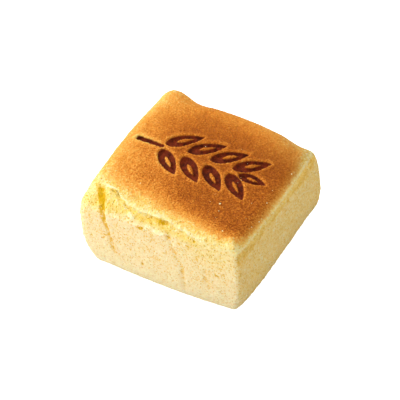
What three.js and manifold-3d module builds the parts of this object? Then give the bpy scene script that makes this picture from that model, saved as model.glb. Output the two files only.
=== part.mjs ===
// Souffle cake: a small, nearly square block of soft baked sponge, pale at the sides and browned on top.
// Millimetres, +Z up. It stands flat on z = 0, with the origin under the middle of its outline.
// X runs along the slightly longer sides. The crust has torn along the top of the -Y side.
// The block is worked out plain first, as a box with rounded edges. Three steps then make it the baked
// cake: the skin is pressed in along the tear and the folds, the sides swell and lean, and a mark is
// pressed into the top.

import * as THREE from "three";
import { mergeVertices } from "three/addons/utils/BufferGeometryUtils.js";
import Module from "manifold-3d";

const { clamp, lerp, smoothstep, degToRad } = THREE.MathUtils;

// The plain block
const LENGTH = 80; // along X
const DEPTH = 78.5; // along Y
const HEIGHT = 41;
// Radii of the upright corners, seen from above. The front right one is the sharpest.
const CORNER_RADII = { backLeft: 6.2, backRight: 6.2, frontRight: 2.6, frontLeft: 6.2 };
const SHOULDER = { width: 7.6, drop: 6.3 }; // the quarter ellipse that turns the side into the top
const FOOT_RADIUS = 1.7;

// How the baked sides and top depart from the plain block
const WAIST = 0.46; // height of the widest line, as a share of HEIGHT
const FOOT_TAPER = 4.6; // how far the sides draw in from the waist down to the foot
const TOP_LEAN = 1.8; // and from the waist up to the top
const BELLY = 1.75; // how far a side bows out midway between its corners
const BACK_BOW = 1.2; // the extra bow of the back (+Y) side, at the top
const CROWN = 1.65; // rise of the top's middle
const CORNER_RISE = { backLeft: 1, backRight: -4.5, frontRight: 2.4, frontLeft: 0.75 };
// Each swell pushes the skin round a place. `reach` is how far it is felt, and `tall` how far up and down
// where that differs.
const SWELLS = [
  { at: [-32, 39, 40], reach: 5, push: [0, 1.3, 2.45] }, // the knob beside the back left corner
  { at: [-22, 39, 40], reach: 6.5, push: [0, -0.5, -0.95] }, // the dip after it
  { at: [31, 39, 38], reach: 6, push: [0, -1.3, -0.75] },
  { at: [38, 37, 36], reach: 5, push: [-0.55, 0.65, -0.1] },
  { at: [40, 32, 16], reach: 7, push: [-0.25, 0, 0] },
  { at: [38, 37, 5], reach: 5, tall: 8, push: [1.3, -0.2, 0] },
  { at: [-40, 8, 38], reach: 12, tall: 8, push: [-0.1, 0, 0.45] },
  { at: [-40, -22, 40], reach: 8, push: [0.1, 0, -0.25] },
  { at: [-35, -34, 40], reach: 4.5, push: [1.8, 1.35, -1.75] }, // the slumped front left corner
  { at: [-40, -34, 32], reach: 6, push: [-0.5, -0.5, 0] },
  { at: [-38, -37, 22], reach: 9, push: [-0.85, 0.75, 0] },
  { at: [-37.5, -36.5, 3], reach: 3.5, tall: 6, push: [0.3, -0.9, 0] },
  { at: [38, -37.5, 3], reach: 4, tall: 8, push: [-0.65, -0.1, 0] },
  { at: [12, -39, 3], reach: 13, tall: 8, push: [0, -0.15, 0] },
  { at: [40, 4, 3], reach: 13, tall: 8, push: [-0.4, 0, 0] },
];

// The torn seam along the top of the -Y side. Its lip lies `wide` in from the rim on the left and `narrow`
// further right, and meets the rim where the seam ends.
const TEAR = { from: -34, full: -29, wideTo: -27, narrowFrom: -12, closing: 3, to: 24 };
const LIP = { wide: 8.2, narrow: 3.2, wave: 0.5, waveLength: 14, blend: 2.6 };
const TEAR_DEPTH = 1.5;
// The folds that run down the -Y side, given where they cross the bottom of the tear
const FOLD = { x: -25.1, depth: 1.6, width: 2, lean: 0.27, bend: 0.33, shallow: 0.25 };
const CREASE = { x: 10, depth: 0.5, width: 1.6, lean: 0.25 };
// The groove under the top edge of the +X side and the soft ridge over it. `way` is the way over the rim to
// their middle line, counted like `along` below, and `slope` what it gains for each millimetre of Y.
const RIM_GROOVE = { way: 0, slope: 0.042, depth: 0.5, width: 1.2 };
const RIM_RIDGE = { way: 4.4, slope: 0.05, rise: 0.45, width: 1.3 };
const RIM_RUN = { half: 39, fade: 5 };

// The mark pressed into the top: an ear of grain that lies along X
const MARK = { stem: -33, firstPair: -19.5, pitch: 11, pairs: 4, y: 3, depth: 1.35 };
const GRAIN = { length: 17.5, width: 7, tilt: 42, offset: 1.7 };
const TIP_GRAIN = { from: 17.6, length: 13, width: 5.6 };
const STEM = { length: 13.5, width: 2.9 };

// How finely the skin is divided
const ACROSS = 38; // along X and along Y
const UP_THE_SIDE = 13; // between the foot and the shoulder
const ROUND_THE_SHOULDER = 3; // up to the shoulder's 45 degree line, where the top's own grid begins
const GATHER_UP = 1.35; // how much closer the rows lie near the top
const GATHER_OUT = 0.3; // and the grid lines towards the edges
const CURVE_STEPS = 7;

const HALF_LENGTH = LENGTH / 2;
const HALF_DEPTH = DEPTH / 2;
const SHOULDER_START = HEIGHT - SHOULDER.drop;

// ---- The plain block ----

// The radius of the upright corner in the quarter of the plan that a point lies in.
function cornerRadius(x, y) {
  if (y < 0) return x < 0 ? CORNER_RADII.frontLeft : CORNER_RADII.frontRight;
  return x < 0 ? CORNER_RADII.backLeft : CORNER_RADII.backRight;
}

// A point (a, b) of the square from -1 to 1, moved to the rounded rectangle `inset` inside the plan.
function planPoint(a, b, inset) {
  const radius = cornerRadius(a, b) - inset;
  const x = a * (HALF_LENGTH - inset);
  const y = b * (HALF_DEPTH - inset);
  const innerX = clamp(x, inset + radius - HALF_LENGTH, HALF_LENGTH - inset - radius);
  const innerY = clamp(y, inset + radius - HALF_DEPTH, HALF_DEPTH - inset - radius);
  const dx = x - innerX;
  const dy = y - innerY;
  const round = Math.max(Math.abs(dx), Math.abs(dy)) / Math.max(Math.hypot(dx, dy), 1e-9);
  return [innerX + dx * round, innerY + dy * round];
}

// How far a plan point lies inside the block's outline.
function planInset(x, y) {
  const radius = cornerRadius(x, y);
  const dx = Math.abs(x) - (HALF_LENGTH - radius);
  const dy = Math.abs(y) - (HALF_DEPTH - radius);
  const outside = Math.hypot(Math.max(dx, 0), Math.max(dy, 0));
  return radius - outside - Math.min(Math.max(dx, dy), 0);
}

// Height of the plain top, whose edge turns down along a quarter ellipse.
function shoulderHeight(inset) {
  const across = clamp(1 - inset / SHOULDER.width, 0, 1);
  return SHOULDER_START + SHOULDER.drop * Math.sqrt(1 - across * across);
}

// Height of the plain underside. Inside the rounded foot it falls below z = 0, where the cake is cut flat.
function footHeight(inset) {
  if (inset > FOOT_RADIUS) return (FOOT_RADIUS - inset) / 4;
  return FOOT_RADIUS - Math.sqrt(FOOT_RADIUS ** 2 - (FOOT_RADIUS - inset) ** 2);
}

// The side's profile from the foot to the shoulder, as rows of { inset, z }. Rows lie closer near the top.
function sideRows() {
  const eighthTurn = Math.PI / 4;
  const footRise = FOOT_RADIUS * (1 - Math.sin(eighthTurn));
  const rows = [{ inset: footRise, z: footRise }];
  for (let i = 0; i <= UP_THE_SIDE; i++) {
    const rise = 1 - (1 - i / UP_THE_SIDE) ** GATHER_UP;
    rows.push({ inset: 0, z: lerp(FOOT_RADIUS, SHOULDER_START, rise) });
  }
  for (let i = 1; i <= ROUND_THE_SHOULDER; i++) {
    const turn = (eighthTurn * i) / ROUND_THE_SHOULDER;
    rows.push({
      inset: SHOULDER.width * (1 - Math.cos(turn)),
      z: SHOULDER_START + SHOULDER.drop * Math.sin(turn),
    });
  }
  return rows;
}

// Draws the grid lines together towards the edges, where the skin curves most.
const towardsEdge = (t) => (1 + GATHER_OUT) * t - GATHER_OUT * t ** 3;

function plainPoint(a, b, c, rows) {
  const spreadA = towardsEdge(a);
  const spreadB = towardsEdge(b);
  const row = rows[Math.round(((c + 1) / 2) * (rows.length - 1))];
  const [x, y] = planPoint(spreadA, spreadB, row.inset);
  if (c === 1) return new THREE.Vector3(x, y, shoulderHeight(planInset(x, y)));
  if (c === -1) return new THREE.Vector3(x, y, footHeight(planInset(x, y)));
  return new THREE.Vector3(x, y, row.z);
}

// ---- Tear and folds ----

const bell = (distance, width) => Math.exp(-((distance / width) ** 2));

// How far in from the -Y rim the torn crust's lip runs.
function lipInset(x) {
  const left = 1 - smoothstep(x, TEAR.wideTo, TEAR.narrowFrom);
  const closed = smoothstep(x, TEAR.closing, TEAR.to);
  const wave = LIP.wave * Math.sin((2 * Math.PI * x) / LIP.waveLength + 1);
  return lerp(LIP.narrow, LIP.wide, left) - LIP.narrow * closed + wave;
}

// The tear is deepest just under its lip and runs out flush at its lower edge. In this and the next two
// functions `along` is the way up the -Y side and on over the shoulder, counted from the shoulder's start.
function tearDepth(x, along) {
  const lip = lipInset(x);
  const lipAlong = shoulderHeight(lip) - SHOULDER_START + lip;
  const open = smoothstep(x, TEAR.from, TEAR.full) * (1 - smoothstep(x, TEAR.closing, TEAR.to));
  const below = smoothstep(along, -0.5, lipAlong * 0.8);
  const above = 1 - smoothstep(along, lipAlong - LIP.blend / 2, lipAlong + LIP.blend / 2);
  return TEAR_DEPTH * open * below * above;
}

// The fold is a deep gash where it crosses the tear, bends away to the left above it, and runs down the
// side as a shallow groove.
function foldDepth(x, along) {
  const up = Math.max(along, 0);
  const down = Math.max(-along, 0);
  const middle = FOLD.x - FOLD.bend * up ** 1.25 + FOLD.lean * down;
  const fade = lerp(FOLD.shallow, 1, smoothstep(along, -16, 2)) * (1 - smoothstep(along, 10, 14));
  const foot = smoothstep(along, -31, -23);
  return FOLD.depth * fade * foot * bell(x - middle, FOLD.width);
}

function creaseDepth(x, along) {
  const middle = CREASE.x + CREASE.lean * Math.max(-along, 0);
  const fade = (1 - smoothstep(along, 0, 3)) * smoothstep(along, -29, -21);
  return CREASE.depth * fade * bell(x - middle, CREASE.width);
}

// The groove along the +X rim, less the ridge over it. `way` is the way up the +X side and over the rim.
function rimDepth(y, way) {
  const run = 1 - smoothstep(Math.abs(y), RIM_RUN.half - RIM_RUN.fade, RIM_RUN.half);
  const overGroove = way - RIM_GROOVE.way - RIM_GROOVE.slope * y;
  const overRidge = way - RIM_RIDGE.way - RIM_RIDGE.slope * y;
  const sunk = RIM_GROOVE.depth * bell(overGroove, RIM_GROOVE.width);
  return run * (sunk - RIM_RIDGE.rise * bell(overRidge, RIM_RIDGE.width));
}

// Presses groove and ridge into a point near the +X side, square to its skin.
function pressRim(p) {
  const fromRight = HALF_LENGTH - p.x;
  const overRim = p.z > SHOULDER_START ? fromRight : 0;
  const outward = p.z > SHOULDER_START ? clamp(1 - fromRight / SHOULDER.width, 0, 1) : 1;
  const near = smoothstep(p.x, HALF_LENGTH - SHOULDER.width, HALF_LENGTH - 2.5);
  const depth = near * rimDepth(p.y, p.z - SHOULDER_START + overRim);
  p.x -= depth * outward;
  p.z -= depth * Math.sqrt(1 - outward ** 2);
}

// Presses the tear and the folds into a point of the plain block, square to its skin.
function pressFolds(p) {
  const fromFront = p.y + HALF_DEPTH;
  const outward = clamp(1 - fromFront / SHOULDER.width, 0, 1);
  const along = p.z - SHOULDER_START + fromFront;
  const deepest = Math.max(tearDepth(p.x, along), foldDepth(p.x, along), creaseDepth(p.x, along));
  const front = deepest * (1 - smoothstep(fromFront, 12, 14));
  pressRim(p);
  p.y += front * outward;
  p.z -= front * Math.sqrt(1 - outward ** 2);
  return p;
}

// ---- Baking ----

// Where a point of the plain block comes to lie on the baked cake.
function baked({ x, y, z }) {
  const u = clamp(x / HALF_LENGTH, -1, 1);
  const v = clamp(y / HALF_DEPTH, -1, 1);
  const w = clamp(z / HEIGHT, 0, 1);
  const belowWaist = clamp(1 - w / WAIST, 0, 1);
  const aboveWaist = clamp((w - WAIST) / (1 - WAIST), 0, 1);
  const taper = -FOOT_TAPER * belowWaist ** 2 - TOP_LEAN * aboveWaist ** 2;
  const backBow = v > 0 ? BACK_BOW * w ** 2 * Math.cos((Math.PI * u) / 2) ** 2 : 0;
  const rise = lerp(
    lerp(CORNER_RISE.frontLeft, CORNER_RISE.frontRight, (u + 1) / 2),
    lerp(CORNER_RISE.backLeft, CORNER_RISE.backRight, (u + 1) / 2),
    (v + 1) / 2,
  );
  const place = new THREE.Vector3(
    x + Math.sign(x) * u ** 4 * (taper + BELLY * (1 - v ** 2)),
    y + Math.sign(y) * v ** 4 * (taper + BELLY * (1 - u ** 2) + backBow),
    z + w * rise + w ** 2 * CROWN * (1 - u ** 2) * (1 - v ** 2),
  );
  for (const { at, reach, tall = reach, push } of SWELLS) {
    const distance = Math.hypot((x - at[0]) / reach, (y - at[1]) / reach, (z - at[2]) / tall);
    place.addScaledVector(new THREE.Vector3(...push), Math.exp(-0.5 * distance ** 2));
  }
  return place;
}

// The whole block as one closed skin: a divided box, each of whose vertices moves to its place on the cake.
function blockGeometry() {
  const rows = sideRows();
  const box = new THREE.BoxGeometry(2, 2, 2, ACROSS, ACROSS, rows.length - 1);
  const position = box.attributes.position;
  for (let i = 0; i < position.count; i++) {
    const plain = plainPoint(position.getX(i), position.getY(i), position.getZ(i), rows);
    const place = baked(pressFolds(plain));
    position.setXYZ(i, place.x, place.y, place.z);
  }
  return box;
}

// ---- The mark ----

// A pointed oval that starts at (from, 0) and lies along X.
function ovalPath(PathType, from, length, width) {
  const bulge = (width / 2) * (4 / 3);
  const tip = from + length;
  return new PathType()
    .moveTo(from, 0)
    .bezierCurveTo(from + 0.12 * length, -bulge, tip - 0.4 * length, -bulge, tip, 0)
    .bezierCurveTo(tip - 0.4 * length, bulge, from + 0.12 * length, bulge, from, 0);
}

// One grain, with the slim island that the iron leaves standing in it.
function grainShape(length, width) {
  const grain = ovalPath(THREE.Shape, 0, length, width);
  grain.holes.push(ovalPath(THREE.Path, 0.3 * length, 0.42 * length, 0.26 * width));
  return grain;
}

function stemShape() {
  const end = STEM.width / 2;
  return new THREE.Shape()
    .absarc(end, 0, end, Math.PI / 2, Math.PI * 1.5, false)
    .quadraticCurveTo(STEM.length * 0.6, -end * 0.3, STEM.length, -end * 0.6)
    .lineTo(STEM.length, end * 0.6)
    .quadraticCurveTo(STEM.length * 0.6, end * 1.3, end, end);
}

// A flat shape as a cutter that follows the top: its floor lies MARK.depth under the skin.
function cutterGeometry(shape, turn, x, y) {
  const options = { depth: 1, bevelEnabled: false, curveSegments: CURVE_STEPS };
  const cutter = new THREE.ExtrudeGeometry(shape, options);
  cutter.rotateZ(turn).translate(x, y, 0);
  const position = cutter.attributes.position;
  for (let i = 0; i < position.count; i++) {
    const skin = baked({ x: position.getX(i), y: position.getY(i), z: HEIGHT });
    const lift = position.getZ(i) > 0.5 ? 2 : -MARK.depth;
    position.setZ(i, skin.z + lift);
  }
  return cutter;
}

function markCutters() {
  const tilt = degToRad(GRAIN.tilt);
  const cutters = [
    cutterGeometry(stemShape(), 0, MARK.stem, MARK.y),
    cutterGeometry(grainShape(TIP_GRAIN.length, TIP_GRAIN.width), 0, TIP_GRAIN.from, MARK.y),
  ];
  for (let pair = 0; pair < MARK.pairs; pair++) {
    const x = MARK.firstPair + pair * MARK.pitch;
    for (const side of [1, -1]) {
      const grain = grainShape(GRAIN.length, GRAIN.width);
      cutters.push(cutterGeometry(grain, side * tilt, x, MARK.y + side * GRAIN.offset));
    }
  }
  return cutters;
}

// ---- Putting it together ----

const wasm = await Module();
wasm.setup();

function toSolid(geometry) {
  const bare = geometry.clone();
  bare.deleteAttribute("normal");
  bare.deleteAttribute("uv");
  const merged = mergeVertices(bare, 1e-4);
  const vertProperties = new Float32Array(merged.attributes.position.array);
  const triVerts = new Uint32Array(merged.index.array);
  return new wasm.Manifold(new wasm.Mesh({ numProp: 3, vertProperties, triVerts }));
}

function toGeometry(solid) {
  const { vertProperties, triVerts } = solid.getMesh();
  const geometry = new THREE.BufferGeometry();
  geometry.setAttribute("position", new THREE.BufferAttribute(vertProperties, 3));
  geometry.setIndex(new THREE.BufferAttribute(triVerts, 1));
  geometry.computeVertexNormals();
  return geometry;
}

function cakeGeometry() {
  const underside = new THREE.BoxGeometry(2 * LENGTH, 2 * DEPTH, HEIGHT).translate(0, 0, -HEIGHT / 2);
  let solid = toSolid(blockGeometry());
  for (const cutter of [underside, ...markCutters()]) solid = solid.subtract(toSolid(cutter));
  const geometry = toGeometry(solid);
  geometry.computeBoundingBox();
  const middle = geometry.boundingBox.getCenter(new THREE.Vector3());
  return geometry.translate(-middle.x, -middle.y, 0);
}

const sponge = new THREE.MeshStandardMaterial({ color: 0xf0cf86, roughness: 0.85, metalness: 0 });

const cake = new THREE.Mesh(cakeGeometry(), sponge);
cake.name = "cake";

const group = new THREE.Group();
group.add(cake);

export default group;
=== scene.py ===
"""Souffle cake: a small square block of baked sponge with a browned, softly crowned top.

The cake's skin is worked out in millimetres, in the frame of the block as it was before the outline was
centred, and is then fitted to the box of the CAD node and turned into metres. The steps are those of
baking: a plain block with rounded edges, a seam that tears open under the crust, folds, the swelling of the
sides, the pressed mark, and last the relief of the crumb.
"""

import itertools
import logging
import math
from dataclasses import dataclass, field
from enum import Enum

import bpy
import numpy as np
from mathutils import Matrix, Vector


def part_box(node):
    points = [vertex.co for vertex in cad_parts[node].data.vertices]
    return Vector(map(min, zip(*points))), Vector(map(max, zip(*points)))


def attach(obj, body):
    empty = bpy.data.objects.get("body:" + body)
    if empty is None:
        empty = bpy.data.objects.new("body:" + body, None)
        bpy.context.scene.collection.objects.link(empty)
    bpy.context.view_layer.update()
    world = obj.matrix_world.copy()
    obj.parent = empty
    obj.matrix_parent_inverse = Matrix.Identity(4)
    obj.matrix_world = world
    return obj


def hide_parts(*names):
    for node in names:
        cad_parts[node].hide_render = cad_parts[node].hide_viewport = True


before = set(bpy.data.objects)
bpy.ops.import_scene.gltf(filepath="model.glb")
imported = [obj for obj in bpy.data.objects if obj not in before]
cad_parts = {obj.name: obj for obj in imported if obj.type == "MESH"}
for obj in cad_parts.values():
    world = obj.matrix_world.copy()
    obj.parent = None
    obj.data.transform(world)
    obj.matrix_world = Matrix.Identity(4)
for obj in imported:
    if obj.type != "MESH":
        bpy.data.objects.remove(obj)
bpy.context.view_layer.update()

logging.basicConfig(level=logging.INFO, format="%(message)s")
LOG = logging.getLogger("souffle cake")

Array = np.ndarray
Socket = bpy.types.NodeSocket
Tree = bpy.types.NodeTree
Piece = bpy.types.Object

METRES = 0.001  # one millimetre
TINY = 1e-9  # keeps a division from dividing by nothing
Place = tuple[float, float, float]
Colour = tuple[float, float, float]
Paint = tuple[float, float, float, float]  # a colour as a shader takes it
Stretch = tuple[float, float]  # where something begins and where it is complete
Line = tuple[tuple[float, float], ...]  # values at places, with straight lines between them


# ---------------------------------------------------------------- shared arithmetic


def smoothstep(low: float, high: float, value: Array) -> Array:
    """Rise smoothly from 0 at low to 1 at high."""
    t = np.clip((value - low) / (high - low), 0.0, 1.0)
    return t * t * (3.0 - 2.0 * t)


def lerp(start: Array, end: Array, share: Array) -> Array:
    """Mix start and end in a straight line."""
    return start + (end - start) * share


def bell(distance: Array, width: float) -> Array:
    """Give exp(-(distance / width)^2), which is 1 in the middle."""
    return np.exp(-((distance / width) ** 2))


def between(value: Array, rise: Stretch, fall: Stretch) -> Array:
    """Rise smoothly from 0 to 1 over one stretch and fall back to 0 over another."""
    return smoothstep(*rise, value) * (1 - smoothstep(*fall, value))


def read_line(line: Line, x: Array) -> Array:
    """Read a line's value at places along it."""
    places, values = zip(*line)
    return np.interp(x, places, values)


def turned(degrees: float) -> tuple[float, float]:
    """Give cosine and sine of an angle in degrees."""
    return math.cos(math.radians(degrees)), math.sin(math.radians(degrees))


@dataclass(frozen=True)
class Chance:
    """Random relief in three dimensions that is the same in each run, worked out from whole-number hashes.

    Attributes:
        seed: Tells one relief from another.
    """

    seed: int

    def hashed(self, cell: Array, channel: int = 0) -> Array:
        """Mix whole-number cell places and a channel into one 32-bit number for each cell.

        Args:
            cell: The cells' places, (..., 3).
            channel: Tells one draw from a cell from another.

        Returns:
            The numbers, (...).
        """
        x, y, z = (cell[..., k].astype(np.int32).view(np.uint32) for k in range(3))
        h = x * np.uint32(73856093) ^ y * np.uint32(19349663) ^ z * np.uint32(83492791)
        h ^= np.uint32((self.seed * 2654435761 + channel * 40503) % 2**32)
        for turn in (np.uint32(2246822519), np.uint32(3266489917)):
            h = (h ^ (h >> np.uint32(15))) * turn
        return h ^ (h >> np.uint32(13))

    def draw(self, cell: Array, channel: int = 0) -> Array:
        """Draw one number from 0 to 1 for each cell."""
        return self.hashed(cell, channel) / 2.0**32

    def draw_place(self, cell: Array, channel: int = 0) -> Array:
        """Draw three numbers from 0 to 1 for each cell, from three stretches of ten bits."""
        h, ten_bits = self.hashed(cell, channel), np.uint32(1023)
        return np.stack([(h >> np.uint32(shift)) & ten_bits for shift in (0, 10, 20)], axis=-1) / 1023.0

    def waves(self, points: Array, size: float) -> Array:
        """Give gradient noise: a random slope at each lattice corner, mixed by a quintic fade.

        Args:
            points: Places in millimetres, (n, 3).
            size: Side of a lattice cell in millimetres, about the size of one bump.

        Returns:
            Heights of about -1 to 1, (n,).
        """
        place = points / size
        cell = np.floor(place)
        part = place - cell
        fade = part**3 * (part * (part * 6 - 15) + 10)
        total = np.zeros(len(points))
        for corner in itertools.product((0, 1), repeat=3):
            at = cell + corner
            slope = self.draw_place(at) * 2 - 1
            share = np.prod(np.where(corner, fade, 1 - fade), axis=-1)
            total += share * np.sum(slope * (part - corner), axis=-1)
        return total * 1.6

    def layered(self, points: Array, size: float, layers: int) -> Array:
        """Add waves of size, size / 2, size / 4 and so on, each with 0.55 of the height of the one before."""
        heights = [0.55**k * self.waves(points + 37.0 * k, size / 2**k) for k in range(layers)]
        return np.sum(heights, axis=0)

    def spots(self, points: Array, spacing: float, radius: float, share: float = 1.0) -> Array:
        """Strew round spots, one or none to a lattice cell: grains where raised, pits where sunk.

        Args:
            points: Places in millimetres, (n, 3).
            spacing: Side of a lattice cell in millimetres.
            radius: Radius of the largest spot in millimetres.
            share: Share of the cells that hold a spot.

        Returns:
            1 in the middle of a spot, falling smoothly to 0 at its rim, (n,).
        """
        place = points / spacing
        cell = np.floor(place)
        highest = np.zeros(len(points))
        for step in itertools.product((-1, 0, 1), repeat=3):
            at = cell + step
            middle = at + self.draw_place(at, 1)
            reach = radius * (0.45 + 0.55 * self.draw(at, 3)) * (self.draw(at, 4) < share)
            away = np.linalg.norm(place - middle, axis=-1) * spacing
            highest = np.maximum(highest, 1 - smoothstep(0.1, 1.0, away / np.maximum(reach, 1e-6)))
        return highest


@dataclass(frozen=True)
class Waves:
    """Uneven relief of one size, with finer layers added.

    Attributes:
        height: Height of its bumps.
        size: Size of the largest bumps in millimetres.
        layers: How many layers it has, each half the size of the one before.
        shift: Where in the random relief it is read, which tells it from others.
    """

    height: float
    size: float
    layers: int = 2
    shift: float = 0.0

    def over(self, chance: Chance, points: Array) -> Array:
        """Give its height at points, (n, 3)."""
        return self.height * chance.layered(points + self.shift, self.size, self.layers)

    def beside(self, chance: Chance, x: Array) -> Array:
        """Give its height along a line, read along a straight line through the relief."""
        line = np.stack([x, np.full_like(x, self.shift), np.full_like(x, 0.37 * self.shift)], axis=-1)
        return self.height * chance.layered(line, self.size, self.layers)


@dataclass(frozen=True)
class Spots:
    """Round grains or pores strewn over the skin.

    Attributes:
        seed: Tells one strewing from another.
        spacing: Side in millimetres of the cells that hold one spot or none.
        radius: Radius of the largest spot in millimetres.
        height: How high a spot stands in millimetres, below 0 for a pore.
        shade: How much deeper its colour is, below 0 where it is paler: partly the crumb's own colour,
        partly painted shade in pores and painted highlight on grains.
        level: The share of a spot's height that lies below the skin.
        share: Share of the cells that hold a spot.
        shift: Where in the random relief they are read.
    """

    seed: int
    spacing: float
    radius: float
    height: float
    shade: float = 0.0
    level: float = 0.0
    share: float = 1.0
    shift: float = 0.0

    def over(self, points: Array) -> Array:
        """Give 1 in the middle of a spot, falling to 0 at its rim, less the level."""
        shape = Chance(self.seed).spots(points + self.shift, self.spacing, self.radius, self.share)
        return shape - self.level


@dataclass(frozen=True)
class Texture:
    """The fine relief of one kind of skin.

    Attributes:
        waves: Its waves.
        spots: Its grains and pores.
    """

    waves: Waves
    spots: tuple[Spots, ...]

    def over(self, chance: Chance, points: Array) -> tuple[Array, Array]:
        """Add up waves and spots.

        Args:
            chance: The random relief that the waves are read from.
            points: Places in millimetres, (n, 3).

        Returns:
            The heights in millimetres, and how much deeper the colour is, partly painted shade and highlight.
        """
        shapes = [(spots, spots.over(points)) for spots in self.spots]
        height = self.waves.over(chance, points) + sum(spots.height * shape for spots, shape in shapes)
        return height, sum(spots.shade * shape for spots, shape in shapes)


@dataclass(frozen=True)
class Oval:
    """An oval place on a side.

    Attributes:
        x: Its middle along the side.
        along: Its middle's way up the side and over the rim.
        wide: Its half width.
        tall: Its half height.
    """

    x: float
    along: float
    wide: float
    tall: float

    def faded(self, x: Array, along: Array) -> Array:
        """Give a bell round its middle."""
        return bell(np.hypot((x - self.x) / self.wide, (along - self.along) / self.tall), 1.0)


@dataclass(frozen=True)
class Patch(Oval):
    """A soft patch on a side.

    Attributes:
        strength: Its value in the middle.
    """

    strength: float

    def shape(self, x: Array, along: Array) -> Array:
        """Give its value: a bell round the middle."""
        return self.strength * self.faded(x, along)


# ---------------------------------------------------------------- the block and how it bakes


@dataclass(frozen=True)
class Swell:
    """A local push of the baked skin, such as the knob beside the back left corner.

    Attributes:
        at: Its middle on the plain block.
        reach: How far it is felt.
        push: How far the middle moves.
        tall: How far it is felt up and down, where that differs.
    """

    at: Place
    reach: float
    push: Place
    tall: float = 0.0

    def moved(self, points: Array) -> Array:
        """Give the push at each point of the plain block: a bell round the middle."""
        spread = (self.reach, self.reach, self.tall or self.reach)
        return np.exp(-0.5 * np.linalg.norm((points - self.at) / spread, axis=-1) ** 2)[:, None] * self.push


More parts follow.
